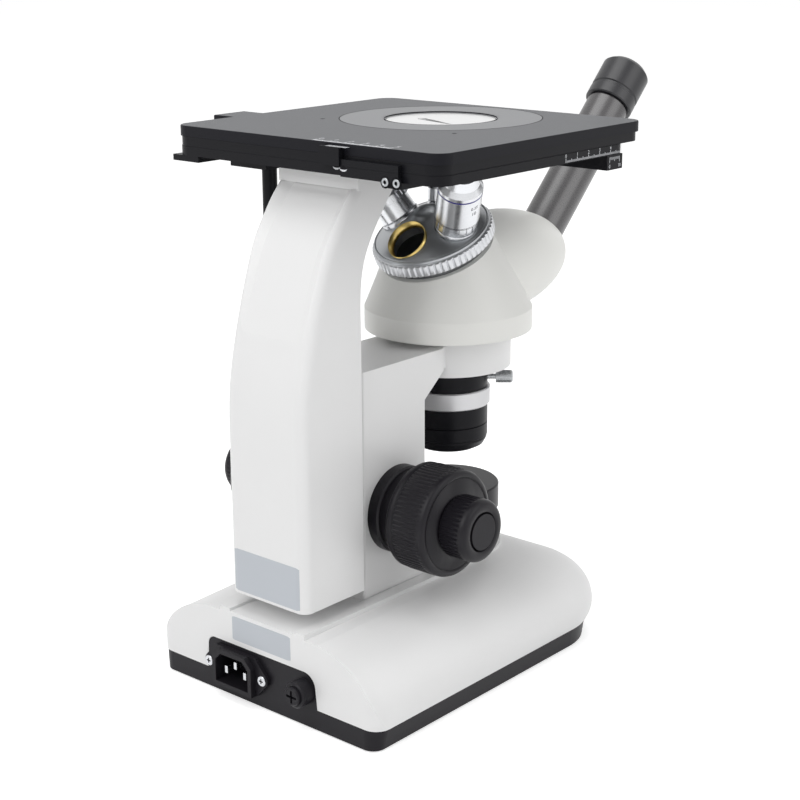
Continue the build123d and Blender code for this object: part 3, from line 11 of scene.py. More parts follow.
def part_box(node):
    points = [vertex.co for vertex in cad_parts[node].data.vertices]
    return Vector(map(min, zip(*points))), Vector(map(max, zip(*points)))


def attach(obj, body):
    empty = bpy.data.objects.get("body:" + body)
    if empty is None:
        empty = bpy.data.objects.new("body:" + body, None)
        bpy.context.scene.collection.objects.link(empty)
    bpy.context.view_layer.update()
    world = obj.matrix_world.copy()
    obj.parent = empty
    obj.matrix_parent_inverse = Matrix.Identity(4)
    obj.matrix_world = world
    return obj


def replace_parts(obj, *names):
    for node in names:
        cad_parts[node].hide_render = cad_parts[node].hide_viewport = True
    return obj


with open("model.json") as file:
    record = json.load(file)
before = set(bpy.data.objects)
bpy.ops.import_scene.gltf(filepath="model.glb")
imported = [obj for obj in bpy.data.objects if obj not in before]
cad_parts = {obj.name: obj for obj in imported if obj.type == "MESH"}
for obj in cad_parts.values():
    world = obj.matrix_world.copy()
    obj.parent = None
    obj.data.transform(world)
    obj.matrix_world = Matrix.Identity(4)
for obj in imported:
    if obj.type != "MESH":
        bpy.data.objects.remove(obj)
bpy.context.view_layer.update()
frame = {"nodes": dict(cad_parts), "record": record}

# Camera, fitted to the photograph
camera_place = Vector((-0.57813, 0.65670, 0.40384))
camera_forward = Vector((0.62959, -0.72409, -0.28162))
camera_right = Vector((-0.75566, -0.65494, -0.00541))
camera_lens = 74.756

# Light: strength of the world, and place, size and power of each lamp
world_light = 0.52
floor_reach = 6.0
floor_glow = 0.56
lamps = {
    "key": ((0.1, 1.5, 1.4), 1.2, 13),
    "fill": ((-1.5, -0.4, 1.0), 1.2, 7),
    "top": ((0.1, 0.1, 1.9), 1.1, 10),
}

# Directions and the axes of the turned parts
up_axis = Vector((0, 0, 1))
left = Vector((-1, 0, 0))
front = Vector((0, -1, 0))
back = Vector((0, 1, 0))
optical_place = Vector((0, -0.050, 0))
disc_place = Vector((0, -0.0432, 0))
knob_place = Vector((0, 0.021, 0.096))
thumb_axis = Vector((-0.8192, -0.5736, 0))
turret_place = Vector((0, -0.035044, 0.236251))
turret_axis = Vector((0, 0.42262, 0.90631))
back_seat = Vector((0, -0.013748, 0.234595))
back_seat_axis = Vector((0, 0.76604, 0.64279))
objective_quarters = {"objective_c": 2, "objective_b": 1, "objective_a": 3}

# Finish of each material slot of the record
slot_looks = {
    "white_paint": dict(colour=(0.80, 0.80, 0.80), roughness=0.38, height=0.00003, spread=0.012),
    "head_paint": dict(colour=(0.82, 0.82, 0.79), roughness=0.42, height=0.00003, spread=0.012),
    "black_plastic": dict(
        colour=(0.014, 0.013, 0.016), roughness=0.40, grain=2200, height=0.00006, shine=0.15
    ),
    "black_knob": dict(
        colour=(0.011, 0.010, 0.013), roughness=0.36, grain=2200, height=0.00003, shine=0.2
    ),
    "black_metal": dict(
        colour=(0.008, 0.008, 0.010), roughness=0.36, grain=3000, height=0.00003, shine=0.12
    ),
    "ring_grey": dict(
        colour=(0.20, 0.203, 0.212), roughness=0.45, metallic=0.4, grain=2600, height=0.00006
    ),
    "steel": dict(colour=(0.45, 0.45, 0.46), roughness=0.35, metallic=1.0),
    "silver": dict(colour=(0.55, 0.55, 0.56), roughness=0.38, metallic=0.9),
    "chrome": dict(colour=(0.55, 0.56, 0.58), roughness=0.22, metallic=1.0),
    "brass": dict(colour=(0.62, 0.47, 0.17), roughness=0.30, metallic=1.0),
    "rubber": dict(colour=(0.02, 0.02, 0.02), roughness=0.75),
    "glass": dict(colour=(0.02, 0.03, 0.05), roughness=0.04, height=0.000001),
    "copper": dict(colour=(0.60, 0.30, 0.15), roughness=0.35, metallic=1.0),
    "board": dict(colour=(0.03, 0.16, 0.07), roughness=0.45),
    "ceramic": dict(colour=(0.70, 0.68, 0.62), roughness=0.6),
}
# Stage plates: grey top and near-black sides; the lighter top is painted light from above
stage_top_colour = (0.118, 0.121, 0.128)
stage_side_colour = (0.006, 0.006, 0.009)

# Finishes of the pieces that this script adds
added_looks = {
    # The light ink of the scales also paints the highlight crescents on the stage holes
    "ink_and_highlight": dict(colour=(0.70, 0.71, 0.74), roughness=0.5, spread=0.02),
    "dark_ink": dict(colour=(0.06, 0.06, 0.07), roughness=0.5, spread=0.02),
    "blue_ink": dict(colour=(0.035, 0.03, 0.22), roughness=0.35, spread=0.02),
    "label": dict(
        colour=(0.49, 0.52, 0.56), roughness=0.32, grain=500, height=0.00001, spread=0.008
    ),
    "shadow": dict(colour=(0.004, 0.004, 0.005), roughness=0.6, shine=0.1),
}

# Stage scales: start, tick width, longest tick, digit size and height of the digits' middle
centimetre = 0.010
scale_count = 5
x_scale = dict(start=0.0092, width=0.00065, tick=0.0036, size=0.0052, digits_at=0.0064)
y_scale = dict(start=0.0322, width=0.00035, tick=0.0022, size=0.0026, digits_at=0.0033)
ink_lift = 0.00004

# Verniers: number of steps, first stroke and pitch
vernier_steps = 10
x_vernier_start, x_vernier_pitch = 0.0222, 0.00125
y_vernier_start, y_vernier_pitch = 0.0712, 0.0009

# The turned forms below are points of (radius, height) in millimetres, and a third number
# is the share of the rib depth that the point takes.

# Socket screws of the stage: sunk floor, head and socket
screw_floor = [(0, 0.03), (2.9, 0.03), (3.0, 0)]
screw_head = [(1.0, 0.1), (1.0, 0.5), (1.8, 0.5), (2.1, 0.3), (2.1, 0)]
screw_socket = [(0, 0.1), (1.1, 0.1)]
polished_hole = [(0, 0.03), (1.5, 0.03)]

# Coarse knob: inner face, groove, ribbed band, outer rim and the groove in its face
coarse_width = 25.5
coarse_profile = [
    (3.05, 0, 0), (27.0, 0, 0), (28.2, 0.4, 0), (28.7, 1.2, 0),
    (28.7, 4.0, 0), (28.1, 4.3, 0), (28.1, 4.8, 0), (28.9, 5.2, 0),
    (29.0, 5.6, 1), (29.0, 20.2, 1),
    (28.9, 20.8, 0), (28.8, 23.4, 0), (28.3, 24.6, 0), (27.4, 25.2, 0), (26.2, 25.5, 0),
    (25.4, 25.5, 0), (25.2, 24.9, 0), (24.7, 24.9, 0), (24.5, 25.5, 0), (3.05, 25.5, 0),
]
coarse_ribs, coarse_rib_depth = 72, 0.6
coarse_bore_r, coarse_hub_r, coarse_hub_length = 3.05, 23.0, 8.7

# Fine knob: ribbed side, round shoulder and sunk end
fine_profile = [
    (2.6, 0.4, 0), (15.4, 0.4, 0), (16.2, 1.0, 0), (16.8, 1.6, 1), (16.9, 12.6, 1),
    (16.9, 13.2, 0), (16.9, 14.4, 0), (16.5, 15.8, 0), (15.6, 17.0, 0), (14.4, 17.6, 0),
    (12.6, 17.7, 0), (10.9, 17.6, 0), (10.5, 17.2, 0), (10.3, 15.2, 0), (2.6, 15.2, 0),
]
fine_ribs, fine_rib_depth = 42, 0.5

# Turret: under side, rim with its groove, cone, and a dome that is hollow over the hub
turret_profile = [
    (4.1, 2), (29.5, -4), (29.5, -1.2),
    (32.6, -1.2), (32.9, -0.9), (32.9, 0.2), (32.3, 0.75), (31.9, 0.75), (31.6, 0.60),
    (31.3, 0.98), (20, 6.10), (9.6, 10.9),
    (8.2, 11.8), (7.2, 12.8), (6.3, 13.5), (5.0, 14.05), (2.5, 14.35), (0, 14.4),
    (0, 13.95), (5.3, 13.85), (6.2, 13.3), (6.2, 10.9), (4.1, 10.9), (4.1, 2),
]
seat_hole = [(0, 4), (11.6, 4), (11.6, -5.5), (10.8, -5.5), (10.8, -16), (0, -16)]
open_seat = [
    (10.4, -5.2), (10.2, -4.9), (10.3, -3.2), (10.6, -2.9),
    (11.3, -0.3), (11.5, -0.3), (11.5, -5.2), (10.4, -5.2),
]
filled_seat = [
    (10.6, -5.2), (10.2, -4.8), (10.2, -0.9), (10.5, -0.25),
    (10.9, 0), (11.2, 0), (11.5, -0.3), (11.5, -5.2), (10.6, -5.2),
]
grip_profile = [
    (29.6, -8, 0), (33.6, -8, 0.3), (34.2, -7.7, 1), (34.4, -7.2, 1), (34.4, -2.2, 1),
    (34.2, -1.8, 1), (33.9, -1.6, 0.6), (33.0, -1.6, 0), (33.0, -1.3, 0), (29.6, -1.3, 0),
]
grip_grooves, grip_depth = 60, 0.9

# Marks of the long objective
objective_r = 12.2
colour_band = [(12.2, 25.4), (12.24, 25.5), (12.24, 26.3), (12.2, 26.4)]
base_line = [(12.21, 6.4), (12.21, 6.7)]

# Blank labels: width and height
arm_label = (0.0472, 0.0235)
wall_label = (0.043, 0.0135)
label_corner = 0.0008
label_thick = 0.00012
arm_edge_r = 0.0055


def at(x, y, z):
    """Place from millimetres."""
    return Vector((x, y, z)) / 1000


def make_camera():
    """Camera at the photograph's place and angle."""
    data = bpy.data.cameras.new("camera")
    data.lens = camera_lens
    data.sensor_width = 36.0
    data.clip_start = 0.05
    camera = bpy.data.objects.new("camera", data)
    bpy.context.scene.collection.objects.link(camera)
    behind = -camera_forward.normalized()
    up = behind.cross(camera_right).normalized()
    right = up.cross(behind)
    turn = Matrix((right, up, behind)).transposed().to_4x4()
    camera.matrix_world = Matrix.Translation(camera_place) @ turn
    bpy.context.scene.camera = camera


def range_of(nodes, links, factor, low, high, start=0.0, end=1.0):
    """Value moved from one range to another."""
    span = nodes.new("ShaderNodeMapRange")
    span.inputs["From Min"].default_value = start
    span.inputs["From Max"].default_value = end
    span.inputs["To Min"].default_value = low
    span.inputs["To Max"].default_value = high
    links.new(factor, span.inputs["Value"])
    return span.outputs["Result"]


def seen_rays(nodes, links, low, high):
    """Value that is high for rays from the camera, gloss and glass, and low for the light itself."""
    rays = nodes.new("ShaderNodeLightPath").outputs
    seen = rays["Is Camera Ray"]
    for name in ("Is Glossy Ray", "Is Transmission Ray"):
        either = nodes.new("ShaderNodeMath")
        either.operation = "MAXIMUM"
        links.new(seen, either.inputs[0])
        links.new(rays[name], either.inputs[1])
        seen = either.outputs[0]
    return range_of(nodes, links, seen, low, high)


def make_floor():
    """Pale floor under the feet, lit for the camera and with a shadow."""
    r = floor_reach
    mesh = bpy.data.meshes.new("floor")
    mesh.from_pydata([(-r, -r, 0), (r, -r, 0), (r, r, 0), (-r, r, 0)], [], [(0, 1, 2, 3)])
    floor = bpy.data.objects.new("floor", mesh)
    bpy.context.scene.collection.objects.link(floor)
    material, nodes, links, shader = blank_material("floor_white")
    shader.inputs["Base Color"].default_value = (0.85, 0.85, 0.85, 1)
    shader.inputs["Roughness"].default_value = 0.9
    shader.inputs["Specular IOR Level"].default_value = 0.0
    shader.inputs["Emission Color"].default_value = (1, 1, 1, 1)
    links.new(seen_rays(nodes, links, 0.0, floor_glow), shader.inputs["Emission Strength"])
    mesh.materials.append(material)


def make_lights():
    """Soft studio light from above and both sides, on a white surround."""
    world = bpy.data.worlds.new("studio")
    bpy.context.scene.world = world
    world.use_nodes = True
    nodes, links = world.node_tree.nodes, world.node_tree.links
    surround = nodes["Background"]
    surround.inputs["Color"].default_value = (1, 1, 1, 1)
    links.new(seen_rays(nodes, links, world_light, 1.0), surround.inputs["Strength"])
    middle = Vector((0, 0, 0.15))
    for name, (place, size, power) in lamps.items():
        data = bpy.data.lights.new(name, "AREA")
        data.size = size
        data.energy = power
        light = bpy.data.objects.new(name, data)
        bpy.context.scene.collection.objects.link(light)
        light.location = place
        light.rotation_euler = (middle - Vector(place)).to_track_quat("-Z", "Y").to_euler()


def blank_material(name):
    """New material with its nodes, links and shader."""
    material = bpy.data.materials.new(name)
    material.use_nodes = True
    tree = material.node_tree
    return material, tree.nodes, tree.links, tree.nodes["Principled BSDF"]


def noise_of(nodes, links, vector, scale, detail):
    """Noise value over a coordinate."""
    noise = nodes.new("ShaderNodeTexNoise")
    noise.inputs["Scale"].default_value = scale
    noise.inputs["Detail"].default_value = detail
    links.new(vector, noise.inputs["Vector"])
    return noise.outputs["Fac"]


def colour_mix(nodes, links, factor):
    """Colour mix node with its factor joined."""
    mix = nodes.new("ShaderNodeMix")
    mix.data_type = "RGBA"
    links.new(factor, mix.inputs[0])
    return mix


def colour_between(nodes, links, factor, colour, spread):
    """Colour that a value moves a little to both sides of a middle one."""
    mix = colour_mix(nodes, links, factor)
    low = [c * (1 - spread) for c in colour]
    high = [min(1, c * (1 + spread)) for c in colour]
    mix.inputs[6].default_value = (*low, 1)
    mix.inputs[7].default_value = (*high, 1)
    return mix.outputs[2]


def bump_of(nodes, links, factor, distance):
    """Normal from a height in metres."""
    bump = nodes.new("ShaderNodeBump")
    bump.inputs["Strength"].default_value = 0.5
    bump.inputs["Distance"].default_value = distance
    links.new(factor, bump.inputs["Height"])
    return bump.outputs["Normal"]


def finish(name, colour, roughness, metallic=0.0, grain=900.0, height=0.00002, spread=0.04, shine=0.5):
    """Surface with a fine grain in its gloss and height, and a slow change of its colour."""
    material, nodes, links, shader = blank_material(name)
    place = nodes.new("ShaderNodeTexCoord").outputs["Object"]
    fine = noise_of(nodes, links, place, grain, 3)
    slow = noise_of(nodes, links, place, 35.0, 2)
    gloss = range_of(nodes, links, fine, roughness * 0.85, roughness * 1.15)
    links.new(colour_between(nodes, links, slow, colour, spread), shader.inputs["Base Color"])
    links.new(gloss, shader.inputs["Roughness"])
    links.new(bump_of(nodes, links, fine, height), shader.inputs["Normal"])
    shader.inputs["Metallic"].default_value = metallic
    shader.inputs["Specular IOR Level"].default_value = shine
    return material


def blasted_plate(name, top_colour, side_colour):
    """Black plate whose top is painted a lighter satin grey than its sides, as painted light from above.
    """
    material = finish(name, top_colour, 0.5, grain=2600, height=0.00008, spread=0.03, shine=0.15)
    nodes, links = material.node_tree.nodes, material.node_tree.links
    colour = nodes["Principled BSDF"].inputs["Base Color"]
    lit_top_colour = colour.links[0].from_socket
    facing = nodes.new("ShaderNodeSeparateXYZ")
    links.new(nodes.new("ShaderNodeTexCoord").outputs["Normal"], facing.inputs[0])
    # Faces that look up take the lighter top colour: painted light from above
    upward = range_of(nodes, links, facing.outputs["Z"], 0.0, 1.0, start=0.85, end=0.98)
    mix = colour_mix(nodes, links, upward)
    mix.inputs[6].default_value = (*side_colour, 1)
    links.new(lit_top_colour, mix.inputs[7])
    links.new(mix.outputs[2], colour)
    return material


def vector_step(nodes, links, operation, source, other=(0, 0, 0)):
    """Vector step between a socket and a fixed vector."""
    step = nodes.new("ShaderNodeVectorMath")
    step.operation = operation
    step.inputs[1].default_value = other
    links.new(source, step.inputs[0])
    return step


def turned(name, colour, roughness, origin, axis, metallic=1.0, pitch=5000.0, height=0.00001):
    """Lathe-turned metal, with fine rings about its axis."""
    material, nodes, links, shader = blank_material(name)
    place = nodes.new("ShaderNodeTexCoord").outputs["Object"]
    arm = vector_step(nodes, links, "SUBTRACT", place, origin).outputs["Vector"]
    along = vector_step(nodes, links, "DOT_PRODUCT", arm, axis)
    across = vector_step(nodes, links, "CROSS_PRODUCT", arm, axis)
    radius = vector_step(nodes, links, "LENGTH", across.outputs["Vector"])
    pair = nodes.new("ShaderNodeCombineXYZ")
    links.new(along.outputs["Value"], pair.inputs[0])
    links.new(radius.outputs["Value"], pair.inputs[1])
    rings = noise_of(nodes, links, pair.outputs[0], pitch, 2)
    gloss = range_of(nodes, links, rings, roughness * 0.8, roughness * 1.2)
    links.new(colour_between(nodes, links, rings, colour, 0.05), shader.inputs["Base Color"])
    links.new(gloss, shader.inputs["Roughness"])
    links.new(bump_of(nodes, links, rings, height), shader.inputs["Normal"])
    shader.inputs["Metallic"].default_value = metallic
    return material


def seat_frame(quarter):
    """Place and axis of one seat of the nosepiece, counted in quarter turns from the back one."""
    turn = Matrix.Rotation(-quarter * pi / 2, 3, turret_axis.normalized())
    return turret_place + turn @ (back_seat - turret_place), turn @ back_seat_axis


def node_finishes():
    """Materials of the CAD nodes that don't take the one of their slot."""
    thumb_low, thumb_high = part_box("thumb_screw")
    thumb_place = (thumb_low + thumb_high) / 2
    special = {
        "specimen_disc": turned("disc_steel", (0.80, 0.80, 0.80), 0.34, disc_place, up_axis),
        "iris_ring": turned("ring_aluminium", (0.52, 0.52, 0.53), 0.40, optical_place, up_axis, 0.9),
        "thumb_screw": turned(
            "thumb_chrome", (0.36, 0.37, 0.38), 0.28, thumb_place, thumb_axis, pitch=2500.0
        ),
        "eyepiece_tube": finish("tube_black", (0.045, 0.042, 0.044), 0.28, grain=2600, shine=0.9),
        "eyepiece": finish("eyepiece_black", (0.016, 0.016, 0.019), 0.34, grain=2600),
        "nosepiece_base": finish("base_satin", (0.16, 0.165, 0.17), 0.4, 0.6, spread=0.02),
    }
    for node, quarter in objective_quarters.items():
        place, axis = seat_frame(quarter)
        name = "chrome_" + node[-1]
        special[node] = turned(name, (0.66, 0.67, 0.69), 0.24, place, axis, pitch=2500.0)
    return special


def make_finishes():
    """Materials of the CAD nodes and of the added pieces."""
    made = {name: finish(name, **look) for name, look in slot_looks.items()}
    made["stage_grey"] = blasted_plate("stage_grey", stage_top_colour, stage_side_colour)
    special = node_finishes()
    slots = {row["node"]: row["material_slot"] for row in frame["record"]["subparts"]}
    for name, node in frame["nodes"].items():
        node.data.materials.clear()
        node.data.materials.append(special.get(name) or made[slots[name]])
    made.update({name: finish(name, **look) for name, look in added_looks.items()})
    made["turret"] = turned(
        "turret_satin", (0.42, 0.435, 0.45), 0.34, turret_place, turret_axis, 0.85, height=0.000004
    )
    made["grip"] = turned(
        "grip_aluminium", (0.60, 0.61, 0.63), 0.36, turret_place, turret_axis, 0.85
    )
    return made


def flat_face(origin, right, up):
    """Function from (right, up, out) lengths to a place on a flat face."""
    out = right.cross(up)
    return lambda u, v, w: origin + right * u + up * v + out * w


def round_face(origin, axis, out, radius):
    """Function from (round, along, out) lengths to a place on a round face."""
    return lambda u, v, w: (
        origin + axis * v + Matrix.Rotation(u / radius, 3, axis) @ out * (radius + w)
    )


def add_stroke(bm, face, u, v, width, height, lift=ink_lift):
    """Thin raised bar centred on one point of a face."""
    corners = [(-1, -1), (1, -1), (1, 1), (-1, 1)]
    flat = [(u + a * width / 2, v + b * height / 2) for a, b in corners]
    low = [bm.verts.new(face(*point, 0)) for point in flat]
    high = [bm.verts.new(face(*point, lift)) for point in flat]
    bm.faces.new(high)
    for k in range(4):
        n = (k + 1) % 4
        bm.faces.new((low[k], low[n], high[n], high[k]))


def add_text(bm, face, text, u, v, size):
    """Thin raised digits centred on one point of a face."""
    curve = bpy.data.curves.new("glyphs", "FONT")
    curve.body = text
    curve.size = size
    curve.align_x = "CENTER"
    curve.align_y = "CENTER"
    curve.resolution_u = 3
    holder = bpy.data.objects.new("glyphs", curve)
    bpy.context.scene.collection.objects.link(holder)
    graph = bpy.context.evaluated_depsgraph_get()
    mesh = bpy.data.meshes.new_from_object(holder.evaluated_get(graph))
    bpy.data.objects.remove(holder)
    bpy.data.curves.remove(curve)
    made = [bm.verts.new(face(u + p.co.x, v + p.co.y, ink_lift)) for p in mesh.vertices]
    for polygon in mesh.polygons:
        bm.faces.new([made[k] for k in polygon.vertices])
    bpy.data.meshes.remove(mesh)


def add_crescent(bm, face, half_width, depth, steps=16):
    """Painted highlight on the lower edge of a polished hole, as a raised light crescent."""
    pairs = []
    for s in range(steps + 1):
        angle = pi * (1 + s / steps)
        u, v = half_width * cos(angle), depth * sin(angle)
        pairs.append((bm.verts.new(face(u, v, ink_lift)), bm.verts.new(face(u, 0.4 * v, ink_lift))))
    for (low, high), (next_low, next_high) in zip(pairs, pairs[1:]):
        bm.faces.new((low, next_low, next_high, high))


def add_label(bm, face, width, height, columns=24):
    """Thin sticker that follows its face, cut into columns so that it can bend."""
    soft = label_thick * 0.4
    inner_width = width - 2 * soft
    edges = [-width / 2]
    edges += [-width / 2 + soft + inner_width * k / columns for k in range(columns)]
    edges += [width / 2 - soft, width / 2]
    rows = []
    for u in edges:
        reach = height / 2
        inner = width / 2 - abs(u)
        if inner < label_corner:
            reach -= label_corner - sqrt(max(label_corner**2 - (label_corner - inner) ** 2, 0))
        lift = label_thick if inner > soft / 2 else 0
        rows.append([
            bm.verts.new(face(u, -reach, 0)),
            bm.verts.new(face(u, -reach + soft, lift)),
            bm.verts.new(face(u, reach - soft, lift)),
            bm.verts.new(face(u, reach, 0)),
        ])
    for near, far in zip(rows, rows[1:]):
        for k in range(3):
            bm.faces.new((near[k], far[k], far[k + 1], near[k + 1]))


def add_turned(bm, origin, axis, steps, profile_at):
    """Skin about an axis through the (radius, height) points in millimetres of each angle."""
    side = axis.orthogonal().normalized()
    rounds = []
    for s in range(steps):
        angle = 2 * pi * s / steps
        out = Matrix.Rotation(angle, 3, axis) @ side
        points = [origin + out * r / 1000 + axis * h / 1000 for r, h in profile_at(angle)]
        rounds.append([bm.verts.new(point) for point in points])
    for s in range(steps):
        a, b = rounds[s], rounds[(s + 1) % steps]
        for k in range(len(a) - 1):
            bm.faces.new((a[k], b[k], b[k + 1], a[k + 1]))


def add_ring(bm, origin, axis, profile, steps=72):
    """Turned ring from (radius, height) points in millimetres."""
    add_turned(bm, origin, axis, steps, lambda angle: profile)


def add_ribbed(bm, origin, axis, profile, ribs, steps_per_rib, depth, sharpness):
    """Turned form with ribs, from (radius, height, share of the depth) points in millimetres."""
    def ribbed(angle):
        groove = depth * (0.5 - 0.5 * cos(ribs * angle)) ** sharpness
        return [(r - groove * share, h) for r, h, share in profile]

    add_turned(bm, origin, axis, ribs * steps_per_rib, ribbed)


def close_up(bm):
    """Join the points that meet, and turn all faces outwards."""
    bmesh.ops.remove_doubles(bm, verts=bm.verts, dist=0.000002)
    bmesh.ops.recalc_face_normals(bm, faces=bm.faces)


def put(bm, name, material, body, smooth=False):
    """Turn a built mesh into a piece that rides on a body."""
    mesh = bpy.data.meshes.new(name)
    bm.to_mesh(mesh)
    bm.free()
    for polygon in mesh.polygons:
        polygon.use_smooth = smooth
    mesh.materials.append(material)
    piece = bpy.data.objects.new(name, mesh)
    bpy.context.scene.collection.objects.link(piece)
    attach(piece, body)
    return piece


def reach_of(node, start, direction):
    """Place where a ray meets a CAD node."""
    hit, place, normal, index = frame["nodes"][node].ray_cast(start, direction)
    return place


def add_scale(bm, face, start, width, tick, size, digits_at):
    """Centimetre scale with millimetre ticks, from a start along the face's right."""
    for k in range(scale_count * 10 + 1):
        length = tick * (1.0 if k % 10 == 0 else 0.75 if k % 5 == 0 else 0.5)
        add_stroke(bm, face, start + k * centimetre / 10, length / 2, width, length)
    for k in range(scale_count + 1):
        add_text(bm, face, str(k), start + k * centimetre, digits_at, size)


def make_x_marks(made):
    """Scale along the back edge of the top plate, and the vernier below it."""
    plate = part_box("stage_top_plate")[1]
    bm = bmesh.new()
    add_scale(bm, flat_face(Vector((0, plate.y - 0.0008, plate.z)), left, front), **x_scale)
    put(bm, "x_scale", made["ink_and_highlight"], "stage_x")
    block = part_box("stage_middle")[1]
    face = flat_face(Vector((0, block.y - 0.0003, block.z)), left, front)
    bm = bmesh.new()
    for k in range(vernier_steps + 1):
        add_stroke(bm, face, x_vernier_start + k * x_vernier_pitch, 0.0019, 0.0007, 0.0038)
    put(bm, "x_vernier", made["ink_and_highlight"], "stage_y")


def make_y_marks(made):
    """Scale on the side of the carrier, and the vernier on the bar below it."""
    side = reach_of("stage_carrier", at(-150, -50, 284), -left)
    bm = bmesh.new()
    add_scale(bm, flat_face(Vector((side.x, 0, 0.28185)), front, up_axis), **y_scale)
    end = reach_of("stage_carrier", at(-150, -76, 277), -left)
    face = flat_face(Vector((end.x, 0, 0.2803)), front, up_axis)
    for k in range(vernier_steps + 1):
        length = 0.0030 if k in (0, vernier_steps) else 0.0022 if k == 5 else 0.0014
        add_stroke(bm, face, y_vernier_start + k * y_vernier_pitch, -length / 2, 0.00025, length)
    for k in (0, vernier_steps):
        add_text(bm, face, str(k), y_vernier_start + k * y_vernier_pitch, -0.0048, 0.0026)
    put(bm, "y_scale", made["ink_and_highlight"], "focus")


def make_stage_screws(made):
    """Sunk socket screws and two polished holes on the back edge of the stage; the dark floors, sockets
    and holes are painted shade, and the light crescents are painted highlights.
    """
    dark, bright, rims = bmesh.new(), bmesh.new(), bmesh.new()
    for x in (-59.9, -66.9):
        place = reach_of("stage_carrier", at(x, 150, 281.5), front)
        add_ring(dark, place, back, screw_floor, 32)
        add_ring(bright, place, back, screw_head, 32)
        add_ring(dark, place, back, screw_socket, 6)
    for x in (-25.9, -33.0):
        place = reach_of("stage_carrier", at(x, 150, 285.5), front)
        add_ring(dark, place, back, polished_hole, 32)
        # Light crescent on the hole's lower edge: a painted highlight
        add_crescent(rims, flat_face(place, left, up_axis), 0.0024, 0.0015)
    put(dark, "screw_holes", made["shadow"], "focus")
    put(bright, "socket_screws", made["turret"], "focus", True)
    put(rims, "highlight_crescents", made["ink_and_highlight"], "focus")


def make_stage_joints(made):
    """Two small holes in the top plate, and the gaps around the light insert and the specimen disc."""
    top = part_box("stage_top_plate")[1].z
    lift = ink_lift * 1000
    dark = bmesh.new()
    for place in (Vector((0.0466, 0.0006, top)), Vector((-0.0484, 0.0046, top))):
        add_ring(dark, place, up_axis, [(1.3, 0), (1.2, lift), (0, lift)], 24)
    centre = disc_place + up_axis * top
    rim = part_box("stage_insert")[1].x * 1000
    add_ring(dark, centre, up_axis, [(rim + 0.4, 0), (rim + 0.3, lift), (rim - 0.2, lift)], 160)
    put(dark, "stage_joints", made["shadow"], "stage_x")
    wall = reach_of("stage_insert", centre - 0.0006 * up_axis, -left).x * 1000 - 0.1
    liner = bmesh.new()
    add_ring(liner, centre, up_axis, [(wall, -0.1), (wall, -1.2)], 160)
    put(liner, "disc_gap", made["shadow"], "stage_x", True)


def make_knobs(made):
    """Coarse and fine knobs with fine ribs, as their CAD nodes but closer to the photograph."""
    fine = bmesh.new()
    for node, sense in (("coarse_knob_left", -1), ("coarse_knob_right", 1)):
        low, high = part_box(node)
        outer = high.x if sense > 0 else -low.x
        inner = low.x if sense > 0 else -high.x
        start = outer - coarse_width / 1000
        axis = Vector((sense, 0, 0))
        hub_end = -min(coarse_hub_length, (start - inner) * 1000)
        hub = [(coarse_bore_r, hub_end), (coarse_hub_r, hub_end), (coarse_hub_r, 0)]
        place = knob_place + axis * start
        bm = bmesh.new()
        add_ribbed(bm, place, axis, coarse_profile, coarse_ribs, 8, coarse_rib_depth, 2.0)
        add_ring(bm, place, axis, hub, 96)
        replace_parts(put(bm, node + "_ribbed", made["black_knob"], "coarse", True), node)
        place = knob_place + axis * outer
        add_ribbed(fine, place, axis, fine_profile, fine_ribs, 8, fine_rib_depth, 2.0)
    piece = put(fine, "fine_knobs_ribbed", made["black_knob"], "fine", True)
    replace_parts(piece, "fine_knobs")


def make_turret(made):
    """Smooth cone with its four seats cut in."""
    bm = bmesh.new()
    add_ring(bm, turret_place, turret_axis.normalized(), turret_profile, 160)
    close_up(bm)
    turret = put(bm, "turret_cone", made["turret"], "nosepiece", True)
    cutter = bmesh.new()
    for quarter in range(4):
        place, axis = seat_frame(quarter)
        add_ring(cutter, place, axis, seat_hole, 64)
    close_up(cutter)
    tool = put(cutter, "seat_cutter", made["turret"], "nosepiece")
    cut = turret.modifiers.new("seats", "BOOLEAN")
    cut.operation = "DIFFERENCE"
    cut.solver = "EXACT"
    cut.object = tool
    graph = bpy.context.evaluated_depsgraph_get()
    holed = bpy.data.meshes.new_from_object(turret.evaluated_get(graph))
    turret.modifiers.clear()
    turret.data = holed
    bpy.data.objects.remove(tool)
    holed.set_sharp_from_angle(angle=radians(30))
    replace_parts(turret, "turret")


def make_seat_rings(made):
    """Brass ring in the empty seat, and chrome ones under the objectives."""
    rings = bmesh.new()
    for quarter in range(4):
        place, axis = seat_frame(quarter)
        add_ring(rings, place, axis, filled_seat if quarter else open_seat)
        if quarter == 0:
            brass_faces = len(rings.faces)
    seats = put(rings, "brass_seats", made["brass"], "nosepiece", True)
    seats.data.materials.append(made["chrome"])
    for polygon in seats.data.polygons[brass_faces:]:
        polygon.material_index = 1
    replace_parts(seats, "seat_rings")


def make_grip(made):
    """Grip ring of the nosepiece with narrow grooves."""
    bm = bmesh.new()
    axis = turret_axis.normalized()
    add_ribbed(bm, turret_place, axis, grip_profile, grip_grooves, 12, grip_depth, 6.0)
    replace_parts(put(bm, "grip_grooved", made["grip"], "nosepiece", True), "grip_ring")


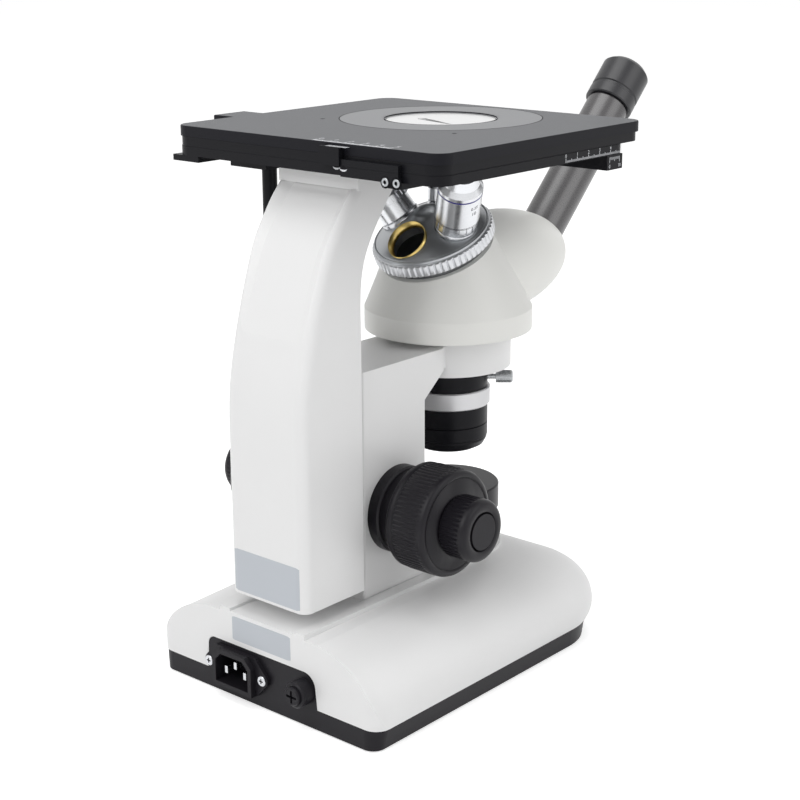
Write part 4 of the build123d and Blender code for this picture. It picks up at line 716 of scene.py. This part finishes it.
def make_labels(made):
    """Blank stickers on the back of the arm and on the back wall of the base."""
    arm_half, arm_back, arm_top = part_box("arm")[1]
    flat = arm_half - arm_edge_r

    def arm_face(u, v, w):
        """Place on the arm's back, which rounds off towards both sides."""
        over = max(abs(u) - flat, 0)
        sink = arm_edge_r - sqrt(arm_edge_r**2 - over**2)
        tilt = over / arm_edge_r
        side = 1 if u > 0 else -1
        return Vector((-u - w * tilt * side, arm_back - sink + w * (1 - tilt), 0.07225 + v))

    bm = bmesh.new()
    add_label(bm, arm_face, *arm_label)
    put(bm, "arm_label", made["label"], "focus")
    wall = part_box("base_housing")[1].y
    bm = bmesh.new()
    add_label(bm, flat_face(Vector((0.0005, wall, 0.04055)), left, up_axis), *wall_label)
    put(bm, "wall_label", made["label"], "stand")


def make_objective_marks(made):
    """Blue colour ring, dark line and plain numbers of the long objective."""
    place, axis = seat_frame(objective_quarters["objective_a"])
    bm = bmesh.new()
    add_ring(bm, place, axis, colour_band, 96)
    put(bm, "blue_band", made["blue_ink"], "nosepiece", True)
    out = Vector((-0.97, 0.22, 0))
    out = (out - axis * out.dot(axis)).normalized()
    face = round_face(place, axis, out, objective_r / 1000)
    bm = bmesh.new()
    add_text(bm, face, "0.25", 0, 0.0205, 0.0028)
    add_text(bm, face, "10", 0, 0.0165, 0.0032)
    add_ring(bm, place, axis, base_line, 96)
    put(bm, "objective_numbers", made["dark_ink"], "nosepiece")


def make_inlet_crosses(made):
    """Cross recesses in the two screws of the mains inlet."""
    low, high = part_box("inlet_screws")
    head_r, long_side, short_side = 0.0029, 0.0028, 0.0007
    bm = bmesh.new()
    for x in (low.x + head_r, high.x - head_r):
        face = flat_face(Vector((x, high.y, (low.z + high.z) / 2)), left, up_axis)
        add_stroke(bm, face, 0, 0, long_side, short_side, 0.00005)
        add_stroke(bm, face, 0, 0, short_side, long_side, 0.00005)
    put(bm, "screw_crosses", made["shadow"], "stand")


bpy.context.scene.view_settings.view_transform = "Standard"
make_camera()
make_floor()
make_lights()
made = make_finishes()
make_x_marks(made)
make_y_marks(made)
make_stage_screws(made)
make_stage_joints(made)
make_labels(made)
make_knobs(made)
make_turret(made)
make_seat_rings(made)
make_grip(made)
make_objective_marks(made)
make_inlet_crosses(made)
